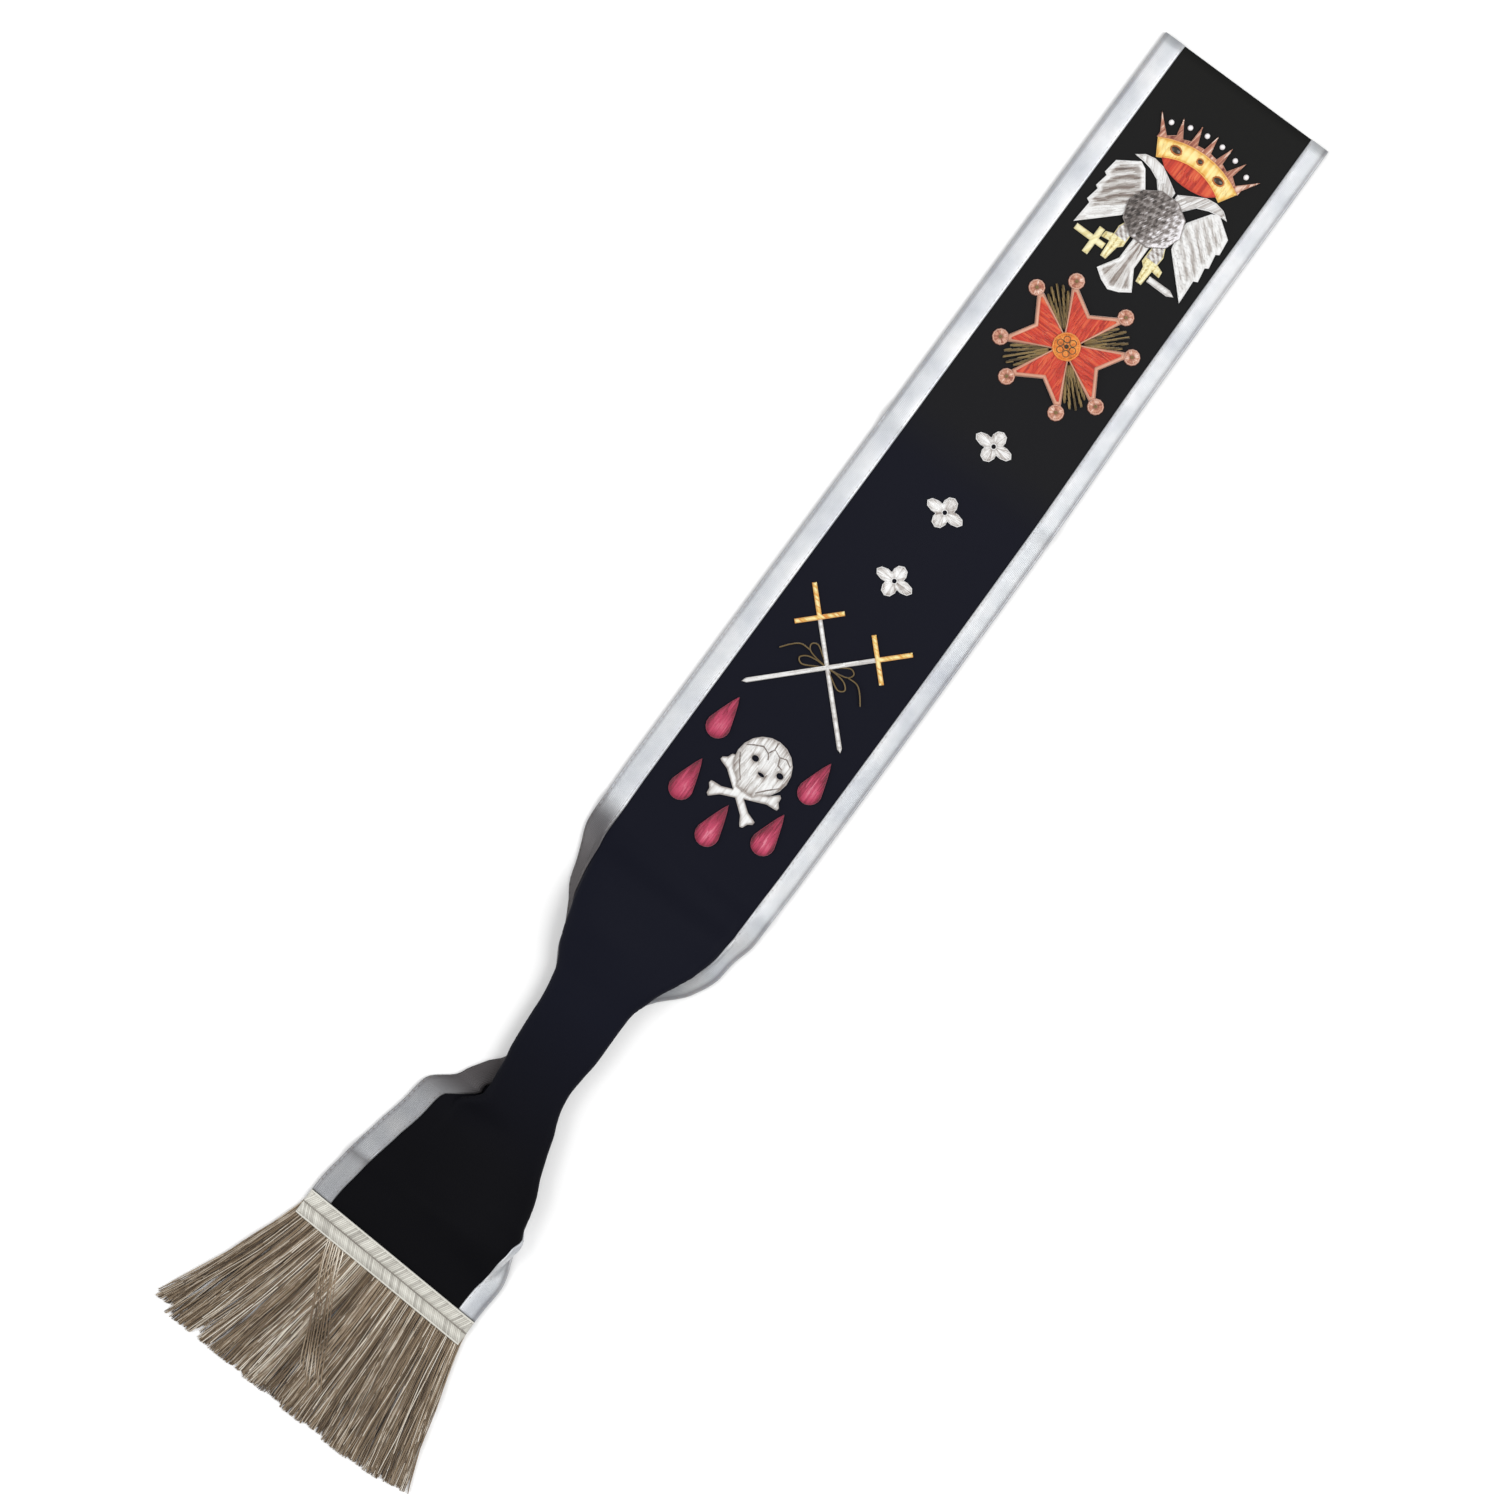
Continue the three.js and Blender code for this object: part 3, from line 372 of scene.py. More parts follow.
def silver_ribbon_finish():
    ribbon = Finish("silver_ribbon", 0.42, 0.4)
    place = ribbon.node("ShaderNodeUVMap", uv_map="cloth").outputs["UV"]
    parts = ribbon.node("ShaderNodeSeparateXYZ", {0: place})
    out = ribbon.math("DIVIDE", parts.outputs["X"], RIBBON_WIDTH)
    tone = ribbon.group(HANDLED_TONE, Vector=ribbon.object_place(), Scale=45.0, Fine=260.0)
    blotch = ribbon.ramp(
        tone["Tone"],
        [(0.30, (0.49, 0.51, 0.55)), (0.50, (0.61, 0.63, 0.65)), (0.68, (0.72, 0.725, 0.73))],
    )
    # Across the ribbon: brightest beside the cloth, with a band of painted shade near the outer edge, where
    # the rolled edge is shaded.
    edge = ribbon.ramp(
        out,
        [
            (0.0, (1.0, 1.0, 1.0)),
            (0.2, (0.95, 0.95, 0.96)),
            (0.4, (0.86, 0.87, 0.88)),
            (0.78, (0.82, 0.83, 0.84)),
            (0.85, (0.62, 0.62, 0.64)),
            (0.93, (0.60, 0.60, 0.62)),
            (1.0, (0.82, 0.82, 0.83)),
        ],
    )
    silver = ribbon.mix(1.0, blotch, edge, "MULTIPLY")
    ribs = ribbon.math("PINGPONG", ribbon.math("MULTIPLY", out, 14.0), 0.5)
    beat = ribbon.math("PINGPONG", ribbon.math("MULTIPLY", parts.outputs["Y"], 1300.0), 0.5)
    yarn = ribbon.group(HANDLED_TONE, Vector=ribbon.object_place(), Scale=700.0, Fine=1600.0)
    dark_yarn = ribbon.math("MULTIPLY", ribbon.math("ADD", yarn["Tone"], ribs), 0.17)
    wear = ribbon.math("MULTIPLY_ADD", tone["Fine tone"], 0.16, dark_yarn)
    worn = ribbon.mix(wear, silver, (0.24, 0.24, 0.25))
    # Painted shade: the silver is darkened towards a brownish grey where the ribbon turns from the light.
    ribbon.colour(ribbon.mix(ribbon.attribute("painted_shade"), worn, (0.050, 0.044, 0.046)))
    ribbon.roughness(ribbon.math("MULTIPLY_ADD", tone["Fine tone"], 0.22, 0.26))
    ribbon.bump(ribbon.math("ADD", ribs, ribbon.math("MULTIPLY", beat, 0.35)), 0.00022, 0.8)
    return ribbon.material


SILVER_RIBBON = silver_ribbon_finish()
print(SILVER_RIBBON.name, "ready")

# %% [markdown]
# Every embroidery and the fringe are laid in thread. One function makes a thread finish from the shades
# that it runs through. Each stitch carries a tone from 0 to 1, which picks its shade, and a run, which
# places its twist.

# %% Thread finishes
THREAD_SHEEN = 0.3
TWIST_PITCH = 0.0011
TONE_DRIFT = 0.25


def thread_finish(name, roughness, metallic, *shades):
    thread = Finish(name, roughness, metallic, Sheen_Weight=THREAD_SHEEN, Sheen_Roughness=0.35)
    tone = thread.group(HANDLED_TONE, Vector=thread.object_place(), Scale=160.0, Fine=1500.0)
    twist = thread.group(THREAD_TWIST, Run=thread.attribute("run"), Pitch=TWIST_PITCH)
    drift = thread.math("MULTIPLY_ADD", tone["Tone"], TONE_DRIFT, -0.5 * TONE_DRIFT)
    shade = thread.math("ADD", thread.attribute("tone"), drift)
    last = len(shades) - 1
    thread.colour(thread.ramp(shade, [(k / last, colour) for k, colour in enumerate(shades)]))
    thread.roughness(thread.math("MULTIPLY_ADD", tone["Fine tone"], 0.2, roughness - 0.1))
    thread.bump(twist["Height"], 0.00006, 0.7)
    return thread.material


# Roughness, metallic, and then the shades from the darkest to the lightest.
THREAD_LOOKS = {
    "gold_thread": (
        0.42, 0.2, (0.16, 0.06, 0.012), (0.68, 0.19, 0.025), (0.78, 0.52, 0.13), (0.88, 0.76, 0.38)
    ),
    "pale_gold_thread": (
        0.42, 0.2, (0.16, 0.10, 0.03), (0.50, 0.38, 0.14), (0.74, 0.66, 0.34), (0.86, 0.82, 0.56)
    ),
    "rose_thread": (
        0.45, 0.1, (0.15, 0.03, 0.025), (0.37, 0.135, 0.085), (0.55, 0.275, 0.185), (0.76, 0.57, 0.48)
    ),
    "red_thread": (0.45, 0.0, (0.25, 0.012, 0.007), (0.57, 0.045, 0.020), (0.72, 0.17, 0.06)),
    "grey_thread": (
        0.45, 0.1, (0.03, 0.024, 0.022), (0.13, 0.11, 0.10), (0.33, 0.30, 0.29), (0.80, 0.78, 0.80)
    ),
    "white_thread": (
        0.45, 0.0, (0.045, 0.038, 0.035), (0.23, 0.185, 0.16), (0.52, 0.495, 0.475), (0.79, 0.79, 0.785)
    ),
    "olive_thread": (0.45, 0.2, (0.025, 0.015, 0.006), (0.11, 0.070, 0.020), (0.26, 0.175, 0.06)),
    "crimson_thread": (
        0.45, 0.0, (0.09, 0.004, 0.014), (0.30, 0.013, 0.052), (0.52, 0.055, 0.130), (0.70, 0.25, 0.33)
    ),
    "cream_braid": (0.45, 0.1, (0.135, 0.117, 0.10), (0.51, 0.495, 0.445), (0.68, 0.67, 0.61)),
    "metallic_strands": (
        0.38, 0.3, (0.026, 0.016, 0.008), (0.12, 0.078, 0.042), (0.285, 0.212, 0.138), (0.76, 0.71, 0.62)
    ),
}
THREADS = {name: thread_finish(name, *look) for name, look in THREAD_LOOKS.items()}
print("thread finishes:", len(THREADS))

# %% [markdown]
# Pearls and stones are small and glossy, so they get a clear coat over their colour.

# %% Pearl and stone
def bead_finish(name, dark, light, roughness, coat):
    bead = Finish(name, roughness, Coat_Weight=coat, Coat_Roughness=0.12)
    tone = bead.group(HANDLED_TONE, Vector=bead.object_place(), Scale=500.0, Fine=2500.0)
    bead.colour(bead.ramp(tone["Tone"], [(0.3, dark), (0.7, light)]))
    bead.bump(tone["Fine tone"], 0.00002, 0.4)
    return bead.material


PEARL = bead_finish("pearl", (0.72, 0.68, 0.70), (0.88, 0.86, 0.86), 0.3, 0.6)
DARK_STONE = bead_finish("dark_stone", (0.010, 0.006, 0.003), (0.045, 0.025, 0.008), 0.3, 0.25)
print(PEARL.name, DARK_STONE.name, "ready")

# %% [markdown]
# ## The cloth and its pleats
#
# The band is one flat panel of cloth. Above the tail it is drawn together in two knife pleats, left and
# right. Across each side, the cloth is a chain of stretches: the top, an upper roll over the fold, the
# pleat that runs back under, a lower roll, and the lip that carries the ribbon and lies on the floor. Two
# tables say where each fold stands and how far it has turned at each place along the cloth, so the fine
# mesh here and the solid frame have one and the same form.

# %% Tables of the cloth
CLOTH_HALF = 52.5 * MM
CLOTH_WALL = 1.5 * MM
SEWING_GAP = 0.3 * MM
UPPER_ROLL = 3.5 * MM
LOWER_ROLL = 2.5 * MM
END_SLANT = 5.8 * MM
SLANT_REACH = 40 * MM
FRAME_SHIFT = Vector((4.5 * MM, 406.2 * MM, 0))

OUTLINE = {
    "along": [0, 0.033, 0.2, 0.35, 0.62, 0.665, 0.711, 0.771, 0.828, 0.864, 0.883, 0.924, 0.959, 1],
    "centre": [
        -0.019, -0.017, -0.005, 0.024, 0.036, 0.038, 0.067, 0.095, 0.133, 0.21, 0.229, 0.152, 0.067, 0.024,
    ],
    "width": [0.962, 0.964, 0.976, 1, 1.01, 1, 1, 1, 1, 1, 1, 1, 1, 1],
}
LEFT_PLEAT = {
    "along": [
        0.649, 0.668, 0.688, 0.711, 0.727, 0.75, 0.771, 0.8, 0.828, 0.836, 0.848, 0.864, 0.883, 0.904, 0.924,
    ],
    "fold": [
        0.78, 0.78, 0.743, 0.705, 0.648, 0.552, 0.429, 0.39, 0.381, 0.371, 0.381, 0.4, 0.61, 0.62, 0.63,
    ],
    "turn": [0, 22, 70, 100, 130, 165, 178, 180, 180, 180, 178, 162, 60, 18, 0],
    "pleat": [0, 0.02, 0.055, 0.044, 0.07, 0.065, 0.105, 0.139, 0.149, 0.13, 0.053, 0.004, 0.01, 0.005, 0],
    "tilt": [0, 14, 35, 50, 40, 10, 0, 0, 0, 0, 0, 0, 0, 0, 0],
}
RIGHT_PLEAT = {
    "along": [
        0.655, 0.67, 0.688, 0.711, 0.727, 0.75, 0.771, 0.8, 0.836, 0.864, 0.883, 0.904, 0.924, 0.943, 0.959,
        0.976, 0.99,
    ],
    "fold": [
        0.78, 0.78, 0.752, 0.686, 0.59, 0.448, 0.381, 0.371, 0.314, 0.371, 0.438, 0.581, 0.714, 0.81, 0.81,
        0.815, 0.82,
    ],
    "turn": [0, 18, 60, 100, 130, 165, 178, 180, 180, 180, 178, 172, 160, 120, 60, 18, 0],
    "pleat": [
        0, 0.02, 0.072, 0.032, 0.04, 0.114, 0.152, 0.158, 0.187, 0.158, 0.124, 0.061, 0.013, 0.015, 0.05,
        0.01, 0,
    ],
    "tilt": [0] * 17,
}
PLEATS = {"left": LEFT_PLEAT, "right": RIGHT_PLEAT}
CREASES = {"along": [0.324, 0.655, 0.95], "rise": [1.2, 0.9, 1.2], "reach": [10, 8, 9]}
print("rows:", [len(table["along"]) for table in (OUTLINE, LEFT_PLEAT, RIGHT_PLEAT)])

# %% [markdown]
# Between the rows of a table the value runs on a curve that never overshoots a row, so no fold swings past
# its neighbours.

# %% Reading a table
def clamp(value):
    return min(1.0, max(0.0, value))


def ease(share):
    return share * share * (3 - 2 * share)


def mix(first, second, share):
    return first + (second - first) * share


def between(table, column, along):
    places, values = table["along"], table[column]
    last = len(places) - 1
    if along <= places[0]:
        return values[0]
    if along >= places[last]:
        return values[last]
    i = next(k for k in range(last + 1) if places[k] > along) - 1

    def slope(k):
        return 0 if k < 0 or k >= last else (values[k + 1] - values[k]) / (places[k + 1] - places[k])

    def tangent(k):
        before, after = slope(k - 1), slope(k)
        return 0 if before * after <= 0 else 2 * before * after / (before + after)

    span = places[i + 1] - places[i]
    t = (along - places[i]) / span
    start = values[i] + t * span * tangent(i)
    end = values[i + 1] - (1 - t) * span * tangent(i + 1)
    return mix(start, end, ease(t))


print("middle of the waist:", round(between(OUTLINE, "centre", 0.8) * CLOTH_HALF / MM, 1), "mm right")

# %% Cross-section of the cloth
class Side:
    """One side of the cloth's cross-section, as stretches that turn from one slope to another."""

    def __init__(self, table, along, half):
        self.half = half
        turn = math.radians(between(table, "turn", along))
        tilt = math.radians(between(table, "tilt", along))
        pleat = between(table, "pleat", along) * CLOTH_HALF
        self.top = between(table, "fold", along) * CLOTH_HALF - UPPER_ROLL
        upper = UPPER_ROLL * turn
        lower = LOWER_ROLL * (turn - tilt)
        lip = half - self.top - upper - pleat - lower
        self.stretches = [
            (self.top, 0, 0),
            (upper, 0, turn),
            (pleat, turn, turn),
            (lower, turn, tilt),
            (lip, tilt, tilt),
        ]
        self.height = self.walk(half)[1]

    def walk(self, distance):
        out, down, left, slope = 0.0, 0.0, distance, 0.0
        for length, start, end in self.stretches:
            step = max(0.0, min(left, length))
            slope = mix(start, end, step / length) if length > 0 else end
            if abs(end - start) < 1e-6:
                out += step * math.cos(start)
                down += step * math.sin(start)
            elif length > 0:
                radius = length / (end - start)
                out += radius * (math.sin(slope) - math.sin(start))
                down += radius * (math.cos(start) - math.cos(slope))
            left -= step
            if left <= 0:
                break
        return out, down, slope


class Section:
    """The whole cross-section at a place along the cloth."""

    def __init__(self, along):
        self.along = along
        half = CLOTH_HALF * between(OUTLINE, "width", along)
        self.centre = CLOTH_HALF * between(OUTLINE, "centre", along)
        self.left = Side(LEFT_PLEAT, along, half)
        self.right = Side(RIGHT_PLEAT, along, half)
        self.crease = 0.0
        for place, rise, reach in zip(CREASES["along"], CREASES["rise"], CREASES["reach"]):
            away = abs(along - place) * CLOTH_LENGTH / (reach * MM)
            self.crease += rise * MM * ease(clamp(1 - away))

    def side(self, name):
        return self.left if name == "left" else self.right


print("height over the waist:", round(Section(0.8).left.height * 1000, 1), "mm")

# %% [markdown]
# Real cloth that is drawn together also ripples along its length. The ripple is small, dies out before the
# embroideries and before the braid, and is added to the height, so that the ribbon follows it.

# %% A point of the sash
RIPPLE = 0.55 * MM


def ripple(along, signed):
    mask = ease(clamp((along - 0.64) / 0.06)) * ease(clamp((0.985 - along) / 0.06))
    if mask == 0:
        return 0.0
    waist = ease(clamp(1 - abs(along - 0.81) / 0.17))
    drift = 9 * noise.noise(Vector((along * 9, 0, 0)))
    wave = math.sin(signed / (5.5 * MM) * mix(0.55, 1.0, waist) + drift)
    cross = noise.noise(Vector((signed * 35, along * 16, 3)))
    return RIPPLE * mask * (0.45 * waist * wave + cross)


def cloth_y(along, x):
    fade = ease(clamp(1 - (1 - along) * CLOTH_LENGTH / SLANT_REACH))
    return -along * CLOTH_LENGTH - END_SLANT / 2 * (x / CLOTH_HALF) * fade


def cloth_point(section, name, distance, lift):
    side = section.side(name)
    sign = -1 if name == "left" else 1
    out, down, slope = side.walk(distance)
    run = section.left.top + section.right.top
    across = clamp((sign * min(out, side.top) + section.left.top) / run)
    if distance <= side.top:
        height = mix(section.left.height, section.right.height, ease(across))
        height += ripple(section.along, sign * distance) * clamp((side.top - distance) / (6 * MM))
    else:
        height = side.height - down
    x = section.centre + sign * (out + lift * math.sin(slope))
    z = CLOTH_WALL / 2 + section.crease + max(0.0, height) + lift * math.cos(slope)
    return Vector((x, cloth_y(section.along, x), z)) + FRAME_SHIFT


middle_point = cloth_point(Section(0.8), "left", 0, CLOTH_WALL / 2)
print("top of the waist:", [round(c * 1000, 1) for c in middle_point])

# %% [markdown]
# ## Sheets
#
# A sheet is two grids of points, its upper and its lower face, closed along all four edges. Its UV map
# keeps the cloth's own measures: metres across and metres along.

# %% Sheet builder
def add_object(name, mesh, material, smooth=True):
    if material:
        mesh.materials.append(material)
    if smooth:
        mesh.polygons.foreach_set("use_smooth", [True] * len(mesh.polygons))
    return add_to_scene(name, mesh)


def make_sheet(name, upper, lower, places, material):
    rows, columns = len(upper), len(upper[0])
    points = [p for row in upper for p in row] + [p for row in lower for p in row]
    spots = [p for row in places for p in row] * 2
    faces = []

    def quad(a, b, c, d):
        faces.append((a, b, c, d))

    def high(i, j):
        return i * columns + j

    def low(i, j):
        return (rows + i) * columns + j

    for i in range(rows - 1):
        for j in range(columns - 1):
            quad(high(i, j), high(i + 1, j), high(i + 1, j + 1), high(i, j + 1))
            quad(low(i, j), low(i, j + 1), low(i + 1, j + 1), low(i + 1, j))
        end = columns - 1
        quad(high(i, 0), low(i, 0), low(i + 1, 0), high(i + 1, 0))
        quad(high(i, end), high(i + 1, end), low(i + 1, end), low(i, end))
    for j in range(columns - 1):
        end = rows - 1
        quad(high(0, j), high(0, j + 1), low(0, j + 1), low(0, j))
        quad(high(end, j), low(end, j), low(end, j + 1), high(end, j + 1))
    mesh = bpy.data.meshes.new(name)
    mesh.from_pydata(points, [], faces)
    uv = mesh.uv_layers.new(name="cloth")
    for loop in mesh.loops:
        uv.data[loop.index].uv = spots[loop.vertex_index]
    return add_object(name, mesh, material)


print("sheet builder ready")

# %% Places along and across the cloth
FINE_STEP = 2.2 * MM
PLAIN_STEP = 6 * MM
PLEATS_FROM = 0.645


def places_along(end):
    marks = [0.0]
    while marks[-1] < end:
        near_crease = min(abs(marks[-1] - c) for c in CREASES["along"]) < 0.02
        step = FINE_STEP if marks[-1] > PLEATS_FROM or near_crease else PLAIN_STEP
        marks.append(marks[-1] + step / CLOTH_LENGTH)
    marks[-1] = end
    return marks


def ribbon_inner(section, name):
    step = 0.004

    def edge(place):
        other = Section(place)
        return cloth_point(other, name, other.side(name).half, 0).x

    drift = (edge(section.along + step) - edge(section.along - step)) / (2 * step * CLOTH_LENGTH)
    widest = 1.35
    return section.side(name).half - RIBBON_WIDTHS[name] * min(widest, math.hypot(1, drift))


SECTIONS = [Section(along) for along in places_along(1.0)]
INNER = {name: [ribbon_inner(section, name) for section in SECTIONS] for name in PLEATS}
print("rows along the cloth:", len(SECTIONS))

# %% The black band
PANEL_STEPS = 26
EDGE_STEPS = 9


def steps_between(first, last, count):
    return [mix(first, last, k / count) for k in range(count + 1)]


def band_rows(point_at):
    """Rows across the whole band, from its left edge to its right one."""
    rows = []
    for k, section in enumerate(SECTIONS):
        row = []
        for name in ("left", "right"):
            inner, half = INNER[name][k], section.side(name).half
            cuts = steps_between(0, inner, PANEL_STEPS) + steps_between(inner, half, EDGE_STEPS)[1:]
            points = [point_at(section, name, cut) for cut in cuts]
            row = points[:0:-1] if name == "left" else row + points
        rows.append(row)
    return rows


def band_face(lift):
    return band_rows(lambda section, name, cut: cloth_point(section, name, cut, lift))


def band_place(section, name, cut):
    return -cut if name == "left" else cut, section.along * CLOTH_LENGTH


upper, lower = band_face(CLOTH_WALL / 2), band_face(-CLOTH_WALL / 2)
band = make_sheet("cloth_band", upper, lower, band_rows(band_place), BLACK_CLOTH)
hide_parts("band")
print(band.name, len(band.data.polygons), "faces")

# %% [markdown]
# The ribbons lie on the cloth, a sewing thread's thickness above it, and follow it through the pleats:
# they vanish under the black folds and come out again below them.

# %% The two ribbons
HEADING_OVERLAP = 5 * MM
HEADING_TOP = 1 - HEADING_OVERLAP / CLOTH_LENGTH
RIBBON_END = HEADING_TOP - SEWING_GAP / CLOTH_LENGTH
RIBBON_STEPS = 12
RIBBON_SECTIONS = [section for section in SECTIONS if section.along < RIBBON_END] + [Section(RIBBON_END)]


def ribbon_face(name, lift, crown):
    face = []
    for section in RIBBON_SECTIONS:
        cuts = steps_between(ribbon_inner(section, name), section.side(name).half, RIBBON_STEPS)
        row = []
        for j, cut in enumerate(cuts):
            share = j / RIBBON_STEPS
            rolled = crown * (1 - abs(2 * share - 1) ** 6)
            row.append(cloth_point(section, name, cut, lift + rolled))
        face.append(row[::-1] if name == "left" else row)
    return face


def ribbon_places(name):
    places = []
    for section in RIBBON_SECTIONS:
        row = [(u, section.along * CLOTH_LENGTH) for u in steps_between(0, RIBBON_WIDTH, RIBBON_STEPS)]
        places.append(row[::-1] if name == "left" else row)
    return places


# Painted shade on each ribbon, from 0 to 1, where it turns away from the light in and below the pleats.
RIBBON_PAINTED_SHADE = {
    "left": {
        "along": [0.64, 0.655, 0.668, 0.73, 0.745, 0.83, 0.84, 0.865, 0.885, 0.91, 0.947, 0.952, 0.957],
        "painted_shade": [0, 0.5, 0.88, 1.0, 0.7, 1.0, 1.0, 0.97, 0.66, 0.47, 0.44, 0.74, 0.48],
    },
    "right": {
        "along": [0.66, 0.675, 0.70, 0.72, 0.90, 0.93, 1.0],
        "painted_shade": [0, 0.22, 0.1, 0.2, 0.15, 0.1, 0],
    },
}
# A line of painted shade near the outer edge, added to the right ribbon only.
EDGE_SHADE_LINE = {"left": 0.0, "right": 0.3}


def write_painted_shade(ribbon, name):
    """Writes the painted shade of the silver, from a table of places along the cloth. The right ribbon faces
    the key light, so its painted shade line near the outer edge is written a little stronger."""
    spots = [0.0] * (2 * len(ribbon.data.loops))
    ribbon.data.uv_layers["cloth"].data.foreach_get("uv", spots)
    values = [0.0] * len(ribbon.data.vertices)
    for k, loop in enumerate(ribbon.data.loops):
        out, along = spots[2 * k] / RIBBON_WIDTH, clamp(spots[2 * k + 1] / CLOTH_LENGTH)
        line = EDGE_SHADE_LINE[name] * clamp(1 - abs(out - 0.84) / 0.17)
        values[loop.vertex_index] = clamp(between(RIBBON_PAINTED_SHADE[name], "painted_shade", along) + line)
    write_values(ribbon.data, "painted_shade", values)


ribbons = []
for name in ("left", "right"):
    low = CLOTH_WALL / 2 + 0.1 * MM
    upper = ribbon_face(name, low + 0.5 * MM, 0.55 * MM)
    lower = ribbon_face(name, low, 0)
    ribbon = make_sheet("ribbon_" + name, upper, lower, ribbon_places(name), SILVER_RIBBON)
    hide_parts("border_" + name)
    write_painted_shade(ribbon, name)
    ribbons.append(ribbon)
    print(ribbon.name, len(ribbon.data.polygons), "faces")

# %% [markdown]
# ## Threads
#
# Every stitch is a short chain of points. This tree turns all the chains of a mesh into threads at once: a
# curve through each chain, a small round profile, and the run and tone that the finish reads. The radius
# comes with each point, so a stitch can taper where it dives into the cloth.

# %% Thread tree
def store(tree, geometry, name, value, kind="FLOAT"):
    values = {"Geometry": geometry, "Name": name, "Value": value}
    return add_node(tree, "GeometryNodeStoreNamedAttribute", values, data_type=kind).outputs[0]


def cover(tree, given, made, curve, sides, radius):
    """Ends a tree: a round smooth skin over each curve, in the finish that the tree is given."""
    profile = add_node(tree, "GeometryNodeCurvePrimitiveCircle", {"Resolution": sides, "Radius": 1.0})
    skin = {"Curve": curve, "Profile Curve": profile.outputs["Curve"], "Scale": radius, "Fill Caps": True}
    geometry = add_node(tree, "GeometryNodeCurveToMesh", skin).outputs[0]
    for kind in ("GeometryNodeSetShadeSmooth", "GeometryNodeRealizeInstances"):
        geometry = add_node(tree, kind, {"Geometry": geometry}).outputs[0]
    finish = add_node(tree, "GeometryNodeSetMaterial", {"Geometry": geometry, "Material": given["Finish"]})
    tree.links.new(finish.outputs[0], made["Geometry"])


def thread_tree():
    tree, given, made = new_group(
        "Lay threads",
        "GeometryNodeTree",
        [("Geometry", "Geometry", None), ("Sides", "Int", 4), ("Finish", "Material", None)],
        [("Geometry", "Geometry")],
    )
    curve = add_node(tree, "GeometryNodeMeshToCurve", {"Mesh": given["Geometry"]})
    run = add_node(tree, "GeometryNodeSplineParameter").outputs["Length"]
    stored = store(tree, curve.outputs[0], "run", run)
    radius = add_node(tree, "GeometryNodeInputNamedAttribute", {"Name": "thread_radius"})
    cover(tree, given, made, stored, given["Sides"], radius.outputs["Attribute"])
    return tree


THREAD_TREE = thread_tree()


def run_tree(name, mesh, tree, values):
    """Runs a Geometry Nodes tree over a mesh and returns its result as a plain object."""
    holder = add_to_scene(name + "_plan", mesh)
    modifier = holder.modifiers.new("tree", "NODES")
    modifier.node_group = tree
    identifiers = {s.name: s.identifier for s in tree.interface.items_tree if s.in_out == "INPUT"}
    for key, value in values.items():
        modifier[identifiers[key]] = value
    evaluated = holder.evaluated_get(bpy.context.evaluated_depsgraph_get())
    made = bpy.data.meshes.new_from_object(evaluated)
    bpy.data.objects.remove(holder)
    made.name = name
    return add_to_scene(name, made)


def run_plan(name, plan, finish, sides=4):
    """Turns a plan of stitches into threads of one finish."""
    return run_tree(name, plan.mesh(name), THREAD_TREE, {"Sides": sides, "Finish": THREADS[finish]})


print("thread tree ready")

# %% [markdown]
# A plan is what a maker would chalk on the cloth: chains of points with a radius and a tone. It becomes a
# mesh of bare edges that the tree reads.

# %% Thread plan
class Plan:
    def __init__(self):
        self.points, self.edges, self.radii, self.tones = [], [], [], []

    def lay(self, chain, radius, tone, closed=False):
        start = len(self.points)
        last = len(chain) - 1
        for k, point in enumerate(chain):
            self.points.append(point)
            tapered = not closed and k in (0, last)
            self.radii.append(radius * (0.7 if tapered else 1.0))
            self.tones.append(tone[k] if isinstance(tone, list) else tone)
            if k:
                self.edges.append((start + k - 1, start + k))
        if closed:
            self.edges.append((start + last, start))

    def mesh(self, name):
        mesh = bpy.data.meshes.new(name)
        mesh.from_pydata(self.points, self.edges, [])
        write_values(mesh, "thread_radius", self.radii)
        write_values(mesh, "tone", self.tones)
        return mesh


test = Plan()
test.lay([Vector((0, 0, 0)), Vector((0.01, 0, 0)), Vector((0.02, 0, 0))], 0.0003, 0.5)
probe = run_plan("probe", test, "gold_thread")
print("a probe thread:", [round(d * 1000, 2) for d in probe.dimensions], len(probe.data.vertices), "points")
bpy.data.objects.remove(probe)

# %% [markdown]
# ## Padded satin stitch
#
# Each emblem in the frame is a plate. Here its outline is read from the plate's own top face, a low pad
# takes its place, and rows of thread are laid over the pad from edge to edge. Long rows are broken into
# stitches that start at different places, as an embroiderer does, and a cord is couched round the edge.

# %% Outline of a plate
def plate_mesh(node):
    work = bmesh.new()
    work.from_mesh(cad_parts[node].data)
    bmesh.ops.remove_doubles(work, verts=work.verts, dist=1e-6)
    return work


def plate_loops(node):
    """The loops round a plate's top face, as lists of (x, y), with its lowest and highest z."""
    work = plate_mesh(node)
    low, high = (corner.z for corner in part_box(node))
    follows = {}
    for face in work.faces:
        if face.normal.z < 0.9 or face.calc_center_median().z < high - 1e-5:
            continue
        for loop in face.loops:
            other = loop.link_loop_radial_next
            if other is loop or other.face.normal.z < 0.9:
                follows[loop.vert.index] = loop.link_loop_next.vert.index
    spots = {v.index: (v.co.x, v.co.y) for v in work.verts}
    work.free()
    loops = []
    while follows:
        first, here = next(iter(follows.items()))
        del follows[first]
        chain = [first]
        while here != first:
            chain.append(here)
            here = follows.pop(here)
        loops.append([spots[k] for k in chain])
    return loops, low, high


print("loops of the skull:", [len(chain) for chain in plate_loops("skull")[0]])

# %% Rows of stitches inside an outline
def axes(angle):
    """A direction, and the one at its left."""
    along = Vector((math.cos(angle), math.sin(angle)))
    return along, Vector((-along.y, along.x))


